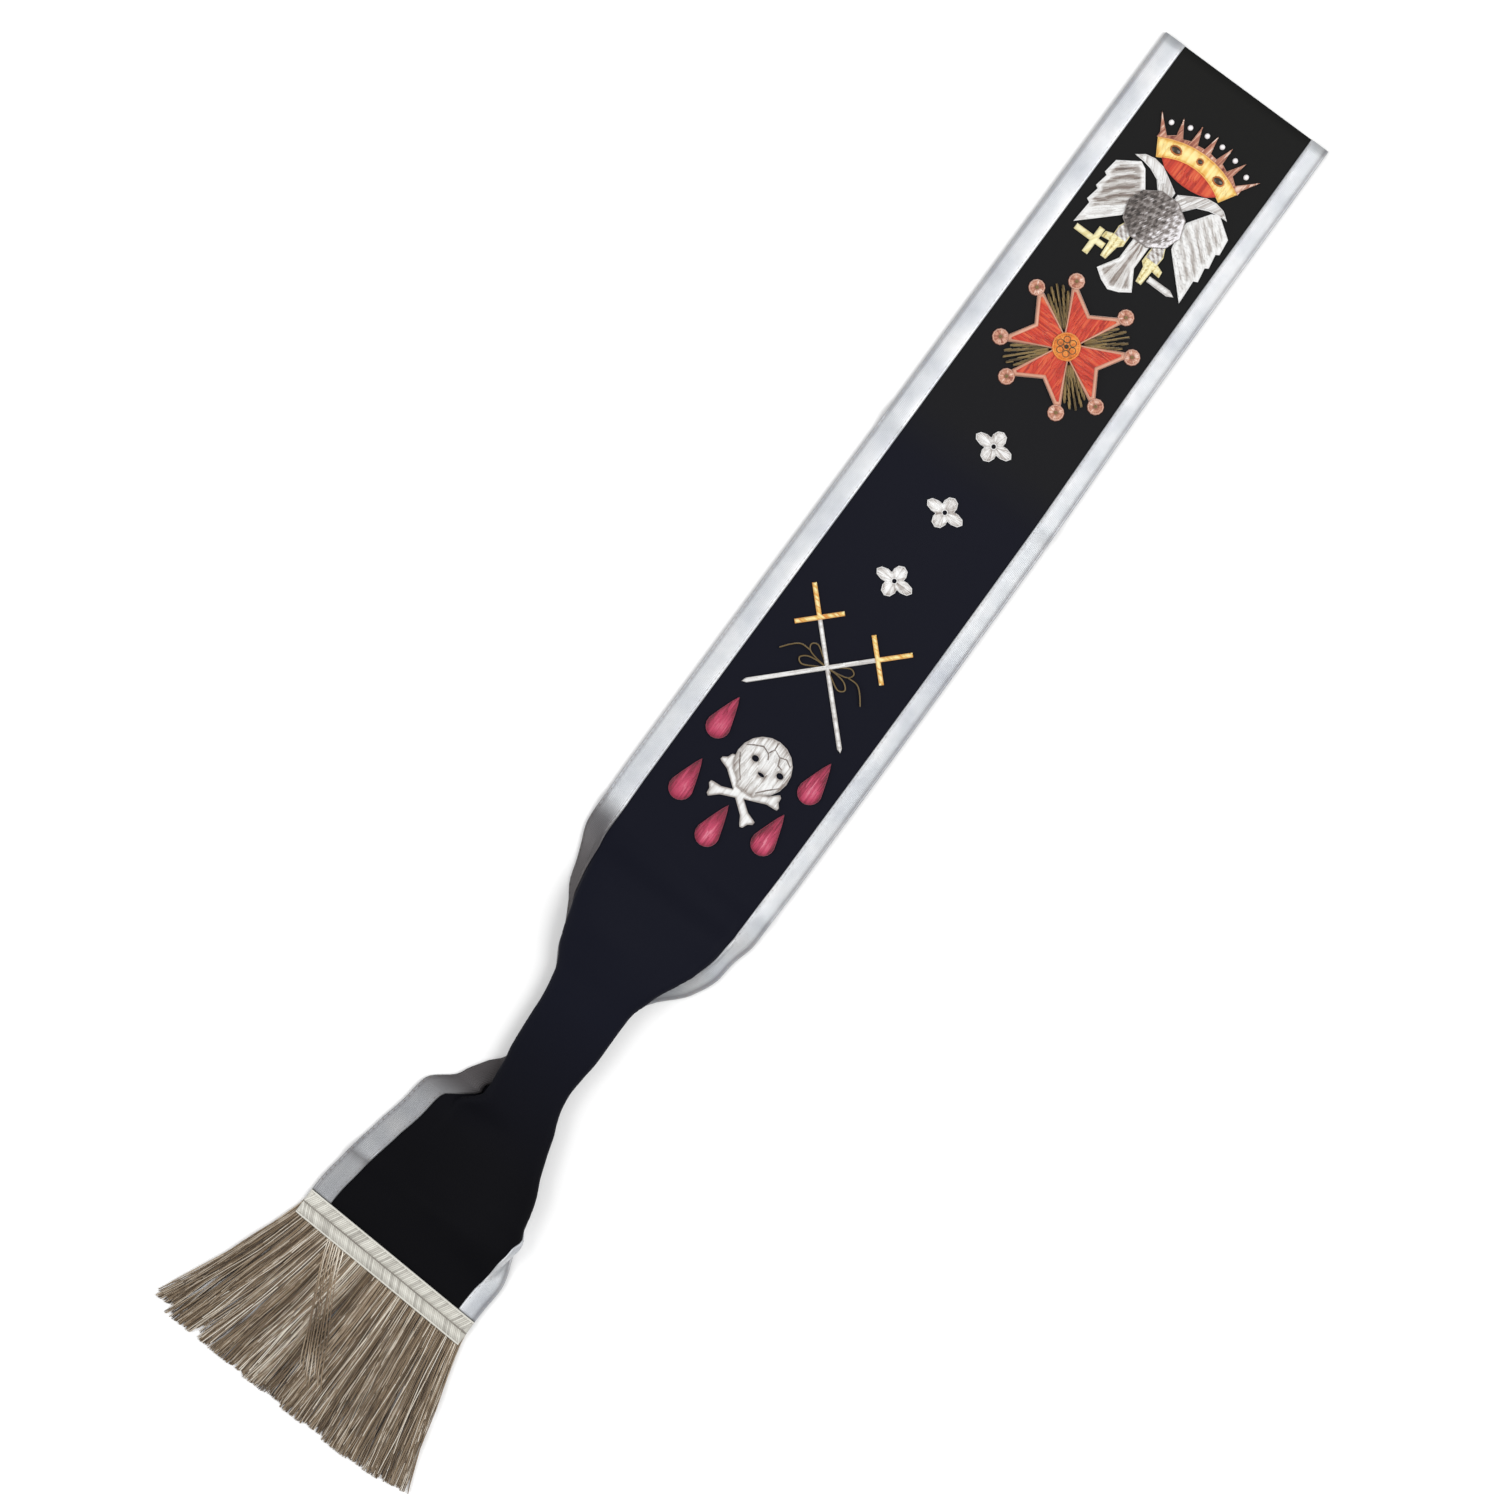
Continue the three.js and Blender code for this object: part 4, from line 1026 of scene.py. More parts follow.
def crossings(loops, origin, direction):
    """Distances along a line at which it crosses the loops, in order."""
    found = []
    side = Vector((-direction.y, direction.x))
    for chain in loops:
        for k, spot in enumerate(chain):
            a = Vector(spot) - origin
            b = Vector(chain[(k + 1) % len(chain)]) - origin
            ha, hb = a.dot(side), b.dot(side)
            if (ha <= 0 < hb) or (hb <= 0 < ha):
                share = ha / (ha - hb)
                found.append(mix(a.dot(direction), b.dot(direction), share))
    return sorted(found)


def parallel_rows(loops, angle, pitch):
    """Pairs of ends of parallel rows that cover the inside of the loops."""
    direction, side = axes(angle)
    heights = [Vector(spot).dot(side) for chain in loops for spot in chain]
    count = max(1, round((max(heights) - min(heights)) / pitch))
    rows = []
    for k in range(count):
        origin = side * mix(min(heights), max(heights), (k + 0.5) / count)
        marks = crossings(loops, origin, direction)
        for a, b in zip(marks[::2], marks[1::2]):
            if b - a > 0.3 * MM:
                rows.append((origin + direction * a, origin + direction * b, k))
    return rows


def radial_rows(loops, centre, pitch, clear=0.5 * MM):
    """Rows that fan out from a centre, which may lie inside or outside the loops. Every second row stops
    short of the middle, where the fan is crowded."""
    reach = max((Vector(spot) - centre).length for chain in loops for spot in chain)
    count = max(8, round(2 * math.pi * reach / pitch))
    rows = []
    for k in range(count):
        direction = axes(2 * math.pi * k / count)[0]
        marks = [m for m in crossings(loops, centre, direction) if m > 0]
        if len(marks) % 2:
            marks.insert(0, clear)
        for a, b in zip(marks[::2], marks[1::2]):
            a = max(a, (0, 0.45, 0.22, 0.45)[k % 4] * reach)
            if b - a > 0.3 * MM:
                rows.append((centre + direction * a, centre + direction * b, k))
    return rows


print("rows over a drop:", len(parallel_rows(plate_loops("drop_bottom")[0], math.pi / 2, 0.5 * MM)))

# %% Laying the stitches
def speckle(x, y, scale=900):
    return noise.noise(Vector((x * scale, y * scale, 0.5)))


def side_distance(here, a, b):
    """How far a point lies from the line between a and b."""
    span = b - a
    share = clamp((here - a).dot(span) / max(span.length_squared, 1e-12))
    return (a + span * share - here).length


def rim_distance(loops, x, y):
    """How far a point lies from the nearest side of the loops."""
    here = Vector((x, y))
    sides = [(chain[k - 1], chain[k]) for chain in loops for k in range(len(chain))]
    return min(side_distance(here, Vector(a), Vector(b)) for a, b in sides)


STITCH_PITCH = 0.5 * MM
STITCH_RADIUS = 0.31 * MM
LONGEST_STITCH = 9 * MM
SHOULDER = 0.7 * MM
TUCK = 0.25 * MM
STAGGER = (0.0, 0.2, -0.2)


def lay_stitch(plan, first, last, z_first, z_last, top, tone_at, own, radius):
    """A stitch that rises over the pad's shoulder, runs across its slightly domed top and dives again. Its
    tone is the tone of the places it crosses, and a little of its own."""
    span = (last - first).length
    rise = min(SHOULDER, span * 0.3) / span
    dome = 0.3 * MM * min(1.0, span / LONGEST_STITCH)
    marks = [
        (0.0, z_first),
        (rise * 0.5, mix(z_first, top, 0.75)),
        (rise * 1.6, top),
        (0.5, top + dome),
        (1 - rise * 1.6, top),
        (1 - rise * 0.5, mix(z_last, top, 0.75)),
        (1.0, z_last),
    ]
    chain = [(*first.lerp(last, share), z) for share, z in marks]
    plan.lay(chain, radius, [clamp(tone_at(x, y) + own) for x, y, z in chain])


def lay_rows(plan, rows, ground, top, tone_at, spread=0.3, radius=STITCH_RADIUS, longest=LONGEST_STITCH):
    """Lays each row as one stitch, or as several that start at staggered places."""
    for start, end, k in rows:
        count = max(1, math.ceil((end - start).length / longest))
        stagger = STAGGER[k % 3] / count
        marks = [0.0] + [j / count + stagger for j in range(1, count)] + [1.0]
        for a, b in zip(marks, marks[1:]):
            first, last = start.lerp(end, a), start.lerp(end, b)
            middle = first.lerp(last, 0.5)
            z_first = ground if a == 0 else top - TUCK
            z_last = ground if b == 1 else top - TUCK
            own = spread * speckle(middle.x, middle.y)
            lay_stitch(plan, first, last, z_first, z_last, top, tone_at, own, radius)


def lay_edge(plan, loops, z, radius, tone):
    """A cord couched round each loop."""
    for chain in loops:
        plan.lay([(x, y, z) for x, y in chain], radius, tone, closed=True)


def ring(x, y, z, size, count):
    turns = [2 * math.pi * k / count for k in range(count)]
    return [(x + size * math.cos(turn), y + size * math.sin(turn), z) for turn in turns]


def lay_knot(plan, x, y, z, size, tone):
    """A knot: one thread wound round a point."""
    plan.lay(ring(x, y, z, size, 6), size, tone, closed=True)


print("stitches ready")

# %% The pad below the stitches
def make_pad(node, ground, top):
    work = plate_mesh(node)
    low, high = (corner.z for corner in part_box(node))
    for vert in work.verts:
        vert.co.z = mix(ground, top, (vert.co.z - low) / (high - low))
    mesh = bpy.data.meshes.new(node + "_pad")
    work.to_mesh(mesh)
    work.free()
    for name, value in (("tone", 0.35), ("run", 0.0)):
        write_values(mesh, name, [value] * len(mesh.vertices))
    return mesh


def join(name, objects):
    """Joins objects into the first one and gives it the name."""
    with bpy.context.temp_override(active_object=objects[0], selected_editable_objects=objects):
        bpy.ops.object.join()
    objects[0].name = name
    return objects[0]


CLOTH_TOP = CLOTH_WALL
THREAD_LIFT = 0.12 * MM
UPPER_GROUND = 2.7 * MM
STONE_GROUND = 2.6 * MM
EDGE_CORD = 0.4 * MM
PIECES = []


def keep(piece, node=None):
    """Lists a finished piece, and hides the node that it stands for."""
    if node:
        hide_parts(node)
    PIECES.append(piece)
    return piece


def embroider(node, finish, plan_it, trim=None, ground=CLOTH_TOP, pad_drop=0.35 * MM):
    """Replaces a plate by a pad with the threads that plan_it lays over it. trim is a second thread."""
    loops, low, high = plate_loops(node)
    top = high - THREAD_LIFT
    parts = []
    for number, (thread, lay_it) in enumerate([(finish, plan_it), *([trim] if trim else [])]):
        plan = Plan()
        lay_it(plan, loops, ground + THREAD_LIFT, top)
        parts.append(run_plan(node + "_threads_" + str(number), plan, thread))
    pad = make_pad(node, ground, high - pad_drop)
    parts.append(add_object(node + "_pad", pad, THREADS[finish], smooth=False))
    return keep(join(node + "_embroidery", parts), node)


print("embroidery ready")

# %% [markdown]
# ## The emblems
#
# Each emblem has its own direction of stitch and its own shading. A tone of 0 is the darkest thread of its
# colour and 1 the lightest. The plain shapes come first: parallel rows, and a cord round the edge.

# %% Plain satin shapes
def node_middle(node):
    low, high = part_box(node)
    return Vector(((low.x + high.x) / 2, (low.y + high.y) / 2))


def extent(spots):
    """The smallest and largest x, and then y, of some spots."""
    xs, ys = zip(*spots)
    return min(xs), max(xs), min(ys), max(ys)


def middle_of(chain):
    return sum((Vector(spot) for spot in chain), Vector((0, 0))) / len(chain)


def satin(angle, base=0.55, spread=0.5, edge=EDGE_CORD, edge_tone=0.8, rim=0.0, rim_width=2 * MM):
    """Parallel rows at an angle in degrees, darker by rim at the outline, and a cord round the edge."""

    def plan_it(plan, loops, ground, top):
        def tone_at(x, y):
            if not rim:
                return base
            return base - rim * (1 - clamp(rim_distance(loops, x, y) / rim_width))

        rows = parallel_rows(loops, math.radians(angle), STITCH_PITCH)
        lay_rows(plan, rows, ground, top, tone_at, spread)
        if edge:
            lay_edge(plan, loops, mix(ground, top, 0.45), edge, edge_tone)

    return plan_it


def points_plan(plan, loops, ground, top):
    """The crown's points pale towards their tips, and the outer two are palest."""
    left, right, low, high = extent([spot for chain in loops for spot in chain])
    middle, half = (left + right) / 2, (right - left) / 2

    def tone_at(x, y):
        outer = clamp((abs(x - middle) / half - 0.72) / 0.1)
        return 0.42 + 0.35 * (y - low) / (high - low) + 0.4 * outer

    lay_rows(plan, parallel_rows(loops, math.radians(80), STITCH_PITCH), ground, top, tone_at, 0.9)
    lay_edge(plan, loops, mix(ground, top, 0.45), EDGE_CORD, 0.55)


PLAIN_SHAPES = [
    ("crown_circlet", "gold_thread", satin(90, 0.98, 0.3, edge=0.5 * MM, edge_tone=0.6, rim=0.45)),
    ("crown_lining", "red_thread", satin(90, 0.55, 0.7, edge_tone=0.35)),
    ("crown_points", "rose_thread", points_plan),
    ("bird_sword_hilt", "pale_gold_thread", satin(60, 0.9, 0.4, edge=0.35 * MM, edge_tone=0.7)),
    ("bird_sword_blade", "white_thread", satin(75, 0.9, 0.3, edge=0.35 * MM)),
    ("sword_hilt_left", "gold_thread", satin(0, 0.9, 0.8, edge=0.3 * MM, edge_tone=0.55)),
    ("sword_hilt_right", "gold_thread", satin(0, 0.9, 0.8, edge=0.3 * MM, edge_tone=0.55)),
    ("sword_blades", "white_thread", satin(45, 0.85, 0.3, edge=0.3 * MM, edge_tone=0.7)),
    ("crossbones", "white_thread", satin(90, 0.95, 0.3, edge_tone=0.5, rim=0.3, rim_width=1 * MM)),
]
for node, finish, plan_it in PLAIN_SHAPES:
    piece = embroider(node, finish, plan_it)
print("plain shapes:", len(PLAIN_SHAPES), "last has", len(piece.data.polygons), "faces")

# %% [markdown]
# The bird's wings have a white rim and a broad white band below, and between them grey bars rise towards
# the body. Its tail is a fan with a white rim. Its body is laid in short slanting stitches, chequered light
# and dark; painted light makes it lighter towards the right, where its rim pales to white. Its legs are
# white above and pale gold below.

# %% Bird
BIRD = node_middle("bird_body")
BODY_HALF = (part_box("bird_body")[1].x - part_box("bird_body")[0].x) / 2
WING_BANDS = {"left": ((-30.5, 303.5), (-9.5, 321.2)), "right": ((34.0, 298.0), (13.0, 321.2))}
WING_SHADES = {"left": (0.56, 0.20), "right": (0.82, 0.20)}
BAR_PITCH = 4.4 * MM
CHECK_PITCH = (4.4 * MM, 5.2 * MM)


def wing(side):
    sign = {"left": -1, "right": 1}[side]
    slant = math.radians(90 + sign * 48)
    across = axes(slant)[1]
    band = [Vector(spot) * MM for spot in WING_BANDS[side]]
    base, bars = WING_SHADES[side]

    def plan_it(plan, loops, ground, top):
        def tone_at(x, y):
            here = Vector((x, y))
            bar = math.sin(2 * math.pi * here.dot(across) / BAR_PITCH + 2 * speckle(x, y, 130))
            rim = 1 - clamp((rim_distance(loops, x, y) - 1.3 * MM) / (1.0 * MM))
            below = 1 - clamp((side_distance(here, *band) - 4.2 * MM) / (1.2 * MM))
            return mix(base + bars * bar, 0.95, max(rim, below))

        rows = parallel_rows(loops, slant, STITCH_PITCH)
        lay_rows(plan, rows, ground, top, tone_at, 0.35, longest=5 * MM)
        lay_edge(plan, loops, mix(ground, top, 0.55), 0.55 * MM, 0.95)

    return plan_it


def tail_plan(plan, loops, ground, top):
    root = Vector((node_middle("bird_tail").x, BIRD.y - 8 * MM))

    def tone_at(x, y):
        away = Vector((x, y)) - root
        barred = math.cos(math.atan2(away.x, -away.y) * 26) > 0.2
        rim = 1 - clamp((rim_distance(loops, x, y) - 1.2 * MM) / (0.8 * MM))
        return mix(0.74 - (0.32 if barred else 0), 0.95, rim)

    lay_rows(plan, radial_rows(loops, root, STITCH_PITCH), ground, top, tone_at, 0.2, longest=6 * MM)
    lay_edge(plan, loops, mix(ground, top, 0.55), 0.45 * MM, 0.95)


def body_plan(plan, loops, ground, top):
    slant = math.radians(62)
    along, across = axes(slant)

    def tone_at(x, y):
        here = Vector((x, y)) - BIRD
        check = math.sin(2 * math.pi * here.dot(along) / CHECK_PITCH[0])
        check *= math.sin(2 * math.pi * here.dot(across) / CHECK_PITCH[1])
        # Painted light: the body is made lighter towards its right side and darker towards its left.
        lit = clamp(here.x / BODY_HALF) * 0.34 + 0.20 * here.x / BODY_HALF
        rim = 1 - clamp((rim_distance(loops, x, y) - 0.8 * MM) / (1.2 * MM))
        white_side = clamp((here.x - 0.6 * here.y) / BODY_HALF)
        return 0.44 + lit + 0.20 * check + 0.4 * rim * white_side

    lay_rows(plan, parallel_rows(loops, slant, STITCH_PITCH), ground, top, tone_at, 0.55, longest=2.2 * MM)
    lay_edge(plan, loops, mix(ground, top, 0.5), EDGE_CORD, 0.5)


def claw_tone(x, y):
    return 0.98 - (0.5 if math.sin(2100 * x) > 0.7 else 0)


def thigh_tone(x, y):
    return 0.72 + 0.25 * math.sin(1900 * (x + y))


def leg_rows(loops, thigh):
    """The rows of the thigh, or those of the claw below it."""
    low, high = extent(loops[0])[2:]
    split = mix(low, high, 0.55)
    return [row for row in parallel_rows(loops, 0.0, STITCH_PITCH) if (row[0].y >= split) == thigh]


def claw_plan(plan, loops, ground, top):
    lay_rows(plan, leg_rows(loops, False), ground, top, claw_tone, 0.4, longest=3 * MM)
    lay_edge(plan, loops, mix(ground, top, 0.45), 0.35 * MM, 0.75)


def thigh_plan(plan, loops, ground, top):
    lay_rows(plan, leg_rows(loops, True), ground, top, thigh_tone, 0.4, longest=3 * MM)


for side, sign in (("left", -1), ("right", 1)):
    embroider("bird_wing_" + side, "white_thread", wing(side))
    embroider("bird_head_" + side, "white_thread", satin(90 - sign * 30, 0.82, 0.5, edge_tone=0.95))
    embroider("bird_leg_" + side, "pale_gold_thread", claw_plan, trim=("white_thread", thigh_plan))
embroider("bird_tail", "white_thread", tail_plan)
piece = embroider("bird_body", "grey_thread", body_plan, ground=UPPER_GROUND)
print(piece.name, len(piece.data.polygons), "faces")

# %% [markdown]
# The cross has four arms. Each arm is stitched along its own axis, so the arms catch the light in turn, and
# a paler cord is couched round them. A knob is a ring of stitches round a small olive knot.

# %% Cross
CROSS = node_middle("cross_centre")


def arms_plan(plan, loops, ground, top):
    chain = [Vector(spot) for spot in loops[0]]
    nearest = sorted(range(len(chain)), key=lambda k: (chain[k] - CROSS).length)[:4]
    valleys = sorted(nearest)
    for first, last in zip(valleys, valleys[1:] + [valleys[0] + len(chain)]):
        arm = [chain[k % len(chain)] for k in range(first, last + 1)] + [CROSS]
        axis = middle_of(arm) - CROSS
        rows = parallel_rows([arm], math.atan2(axis.y, axis.x), STITCH_PITCH)
        lay_rows(plan, rows, ground, top, lambda x, y: 0.5, 0.5)


def arms_edge(plan, loops, ground, top):
    lay_edge(plan, loops, mix(ground, top, 0.7), 1.4 * MM, 0.66)


def knob_plan(plan, loops, ground, top):
    centre = middle_of(loops[0])
    rows = [row for row in radial_rows(loops, centre, 0.6 * MM, 1.3 * MM) if row[2] % 2 == 0]
    lay_rows(plan, rows, ground, top, lambda x, y: 0.62, 0.6, radius=0.42 * MM)
    lay_edge(plan, loops, mix(ground, top, 0.5), 0.45 * MM, 0.75)


def knob_middle(plan, loops, ground, top):
    centre = middle_of(loops[0])
    lay_knot(plan, centre.x, centre.y, top, 0.55 * MM, 0.8)


RAY_START = 3 * MM


def rays_plan(angle):
    """Rays in one quarter. Each starts a little inside the plate, below the cross's centre."""

    def plan_it(plan, loops, ground, top):
        rows = []
        for start, end, k in parallel_rows(loops, math.radians(angle), STITCH_PITCH):
            inner, outer = sorted((start, end), key=lambda spot: (spot - CROSS).length)
            rows.append((inner - (outer - inner).normalized() * RAY_START, outer, k))
        lay_rows(plan, rows, ground, top, lambda x, y: 0.7, 0.8)

    return plan_it


embroider("cross_arms", "red_thread", arms_plan, trim=("rose_thread", arms_edge))
for number in range(1, 9):
    embroider("cross_knob_" + str(number), "rose_thread", knob_plan, trim=("olive_thread", knob_middle))
for quarter in range(4):
    embroider("cross_rays_" + str(quarter + 1), "olive_thread", rays_plan(45 + 90 * quarter))


def centre_plan(plan, loops, ground, top):
    rows = radial_rows(loops, CROSS, STITCH_PITCH)
    lay_rows(plan, rows, ground, top, lambda x, y: 0.34, 0.25)
    lay_edge(plan, loops, mix(ground, top, 0.6), 0.5 * MM, 0.4)


def centre_petals(plan, loops, ground, top):
    petals, reach, half = 6, 3.6 * MM, 1.7 * MM
    for k in range(petals):
        middle = CROSS + reach * axes(2 * math.pi * k / petals)[0]
        plan.lay(ring(*middle, top + 0.3 * MM, half, 10), 0.24 * MM, 0.3, closed=True)
    lay_knot(plan, CROSS.x, CROSS.y, top + 0.3 * MM, 0.6 * MM, 0.1)


petals = ("olive_thread", centre_petals)
embroider("cross_centre", "gold_thread", centre_plan, trim=petals, ground=UPPER_GROUND)
print("cross laid, pieces so far:", len(PIECES))

# %% [markdown]
# Below the cross stand three rosettes, laid in fans. The skull is laid upright with its seams stitched over
# it in grey, and the drops have a soft pale core, where the silk catches the light.

# %% Rosettes, skull and drops
def rosette_plan(plan, loops, ground, top):
    centre = middle_of(loops[0])

    def tone_at(x, y):
        return 0.62 + 0.28 * clamp(rim_distance(loops, x, y) / (2 * MM))

    lay_rows(plan, radial_rows(loops, centre, STITCH_PITCH), ground, top, tone_at, 0.5)
    lay_edge(plan, loops, mix(ground, top, 0.5), EDGE_CORD, 0.9)


for number in range(1, 4):
    embroider("rosette_" + str(number), "white_thread", rosette_plan)

SKULL_LINES = [
    [(-0.05, 1.0), (0.0, 0.75), (-0.12, 0.5), (0.02, 0.3)],
    [(0.0, 0.75), (0.3, 0.62), (0.55, 0.7), (0.8, 0.55)],
    [(-0.12, 0.5), (-0.4, 0.6), (-0.7, 0.45), (-0.93, 0.3)],
    [(0.3, 0.62), (0.42, 0.35), (0.62, 0.3)],
    [(-0.96, -0.05), (-0.72, -0.42), (-0.36, -0.86)],
    [(0.94, -0.28), (0.62, -0.6), (0.34, -0.92)],
]
SKULL_RADIUS = 14.6 * MM


def skull_lines(plan, loops, ground, top):
    low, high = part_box("skull")
    middle = Vector(((low.x + high.x) / 2, high.y - SKULL_RADIUS))
    for line in SKULL_LINES:
        spots = [middle + SKULL_RADIUS * 0.96 * Vector(spot) for spot in line]
        plan.lay([(*spot, top + 0.3 * MM) for spot in spots], 0.4 * MM, 0.2)


def drop_plan(plan, loops, ground, top):
    """A drop has painted shade at its rim, and a soft painted highlight for its core, which sits a little
    low and to the right.
    """
    left, right, low, _ = extent(loops[0])
    half = (right - left) / 2
    core = Vector(((left + right) / 2 + 0.12 * half, low + 1.15 * half))

    def tone_at(x, y):
        away = Vector((x - core.x, (y - core.y) * 0.6))
        rim = 1 - clamp(rim_distance(loops, x, y) / (1.6 * MM))
        return 0.36 + 0.52 * clamp(1 - away.length / (0.9 * half)) - 0.24 * rim

    lay_rows(plan, parallel_rows(loops, math.radians(90), STITCH_PITCH), ground, top, tone_at, 0.35)
    lay_edge(plan, loops, mix(ground, top, 0.5), EDGE_CORD, 0.25)


skull = satin(90, 0.92, 0.5, edge_tone=0.55, rim=0.34, rim_width=2.5 * MM)
embroider("skull", "white_thread", skull, trim=("white_thread", skull_lines))
for place in ("upper_left", "upper_right", "lower_left", "lower_right", "bottom"):
    embroider("drop_" + place, "crimson_thread", drop_plan)
print("emblems laid:", len(PIECES))

# %% [markdown]
# A bow of thin cord lies on each side of the crossed swords: one loop above, one below, and a loose tail.

# %% Bows
BOW_LOOPS = [
    [(0.6, 1.0), (5.1, 4.0), (10.1, 7.0), (13.1, 5.5), (11.6, 2.5), (6.1, 1.0), (0.6, 0.6)],
    [(0.6, 0.0), (5.1, -2.5), (11.1, -5.5), (14.1, -3.5), (11.1, -0.5), (5.1, 0.5), (0.6, 0.2)],
    [(11.6, 2.5), (17.1, 2.5), (21.1, -0.5), (25.1, -5.5)],
]


def smooth_line(spots, steps=5):
    """A smooth line through a few spots."""
    spots = [Vector(spot) for spot in spots]
    line = []
    for k in range(len(spots) - 1):
        before, after = spots[max(k - 1, 0)], spots[min(k + 2, len(spots) - 1)]
        a, b = spots[k], spots[k + 1]
        for j in range(steps):
            t = j / steps
            bend = (2 * before - 5 * a + 4 * b - after) * t**2
            swing = (3 * a - before - 3 * b + after) * t**3
            line.append(a + 0.5 * ((b - before) * t + bend + swing))
    return line + [spots[-1]]


CROSSING = Vector((5.35, 49.7)) * MM
for side, sign in (("left", -1), ("right", 1)):
    plan = Plan()
    for number, spots in enumerate(BOW_LOOPS):
        line = smooth_line([(sign * x * MM, y * MM) for x, y in spots])
        z = CLOTH_TOP + (0.45 + 0.35 * number) * MM
        plan.lay([(CROSSING.x + spot.x, CROSSING.y + spot.y, z) for spot in line], 0.4 * MM, 0.55)
    node = "sword_bow_" + side
    keep(run_plan(node + "_cord", plan, "olive_thread", sides=5), node)
print("bows laid:", [round(v * 1000, 1) for v in CROSSING])

# %% [markdown]
# Pearls and stones are domes, turned as rings of points from their rim up to a closed pole. A stone has a
# gold thread round it, like a setting.

# %% Pearls and stones
def dome(name, node, ground, material, slot, rings=6, sides=18):
    low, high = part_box(node)
    middle, half, rise = (low + high) / 2, (high - low) / 2, high.z - ground
    profile = [(math.cos(math.pi / 2 * k / rings), math.sin(math.pi / 2 * k / rings)) for k in range(rings)]
    points, faces = [], []
    for out, up in profile:
        for j in range(sides):
            turn = 2 * math.pi * j / sides
            x = middle.x + half.x * out * math.cos(turn)
            y = middle.y + half.y * out * math.sin(turn)
            points.append((x, y, ground + rise * up))
    points.append((middle.x, middle.y, high.z))
    for k in range(rings - 1):
        for j in range(sides):
            a, b = k * sides + j, k * sides + (j + 1) % sides
            faces.append((a, b, b + sides, a + sides))
    last = (rings - 1) * sides
    faces += [(last + j, last + (j + 1) % sides, len(points) - 1) for j in range(sides)]
    faces.append(tuple(range(sides))[::-1])
    mesh = bpy.data.meshes.new(name)
    mesh.from_pydata(points, [], faces)
    return keep(add_object(name, mesh, material), node)


for number in range(1, 7):
    dome("pearl_" + str(number), "crown_pearl_" + str(number), CLOTH_TOP, PEARL, "pearl")
for side in ("left", "centre", "right"):
    node = "crown_stone_" + side
    dome("stone_" + side, node, STONE_GROUND, DARK_STONE, "dark_stone")
    plan = Plan()
    lay_edge(plan, plate_loops(node)[0], 3.0 * MM, 0.5 * MM, 0.15)
    keep(run_plan("stone_" + side + "_setting", plan, "gold_thread", sides=5))
print("pearls and stones set, pieces:", len(PIECES))

# %% [markdown]
# ## The braid at the lower end
#
# The heading is a tape with two corded ribs. Each rib is many turns of cream and silver cord, laid aslant
# over a core. The tree walks along the middle of a rib and sets one short arch of cord at every step.

# %% Rib tree
def rib_tree():
    vectors = [(name, "Vector", None) for name in ("Start", "Crest", "End")]
    tree, given, made = new_group(
        "Wrap a rib",
        "GeometryNodeTree",
        [
            ("Geometry", "Geometry", None),
            ("Spacing", "Float", None),
            *vectors,
            ("Radius", "Float", None),
            ("Seed", "Int", None),
            ("Finish", "Material", None),
        ],
        [("Geometry", "Geometry")],
    )
    line = add_node(tree, "GeometryNodeMeshToCurve", {"Mesh": given["Geometry"]}).outputs[0]
    spacing = {"Curve": line, "Length": given["Spacing"]}
    stops = add_node(tree, "GeometryNodeResampleCurve", spacing, mode="LENGTH").outputs[0]
    index = add_node(tree, "GeometryNodeInputIndex").outputs[0]
    tones = {2: 0.3, 3: 0.85, "ID": index, "Seed": given["Seed"]}
    shade = add_node(tree, "FunctionNodeRandomValue", tones, data_type="FLOAT").outputs[1]
    toned = store(tree, stops, "tone", shade)
    corners = {"Start": given["Start"], "Middle": given["Crest"], "End": given["End"]}
    arch = add_node(tree, "GeometryNodeCurveQuadraticBezier", {"Resolution": 6, **corners}).outputs[0]
    turns = add_node(tree, "GeometryNodeInstanceOnPoints", {"Points": toned, "Instance": arch}).outputs[0]
    real = add_node(tree, "GeometryNodeRealizeInstances", {"Geometry": turns}).outputs[0]
    run = add_node(tree, "GeometryNodeSplineParameter").outputs["Length"]
    cover(tree, given, made, store(tree, real, "run", run), 6, given["Radius"])
    return tree


RIB_TREE = rib_tree()
print("rib tree ready")

# %% The heading
HEADING_DEPTH = 14 * MM
HEADING_BASE = CLOTH_WALL + SEWING_GAP
HEADING_TAPE = 0.8 * MM
RIB_RISE = 1.5 * MM
END = Section(1.0)
END_LEFT = END.centre - END.left.half
END_RIGHT = END.centre + END.right.half
HEADING_X = steps_between(END_LEFT, END_RIGHT, 40)


def heading_point(x, down, z):
    return Vector((x, cloth_y(HEADING_TOP, x) - down, z)) + FRAME_SHIFT


def edge_chain(name, points):
    mesh = bpy.data.meshes.new(name)
    mesh.from_pydata(points, [(k, k + 1) for k in range(len(points) - 1)], [])
    return mesh


RIB_PLACES = ((3.7 * MM, 1), (10.3 * MM, -1))
RIB_HALF = 2.8 * MM
RIB_LEAN = 1.5 * MM
RIB_SPACING = 1.05 * MM
RIB_CORD = 0.6 * MM
CORD_TONES = {0.5 * MM: 0.75, 7 * MM: 0.1, 13.5 * MM: 0.75}


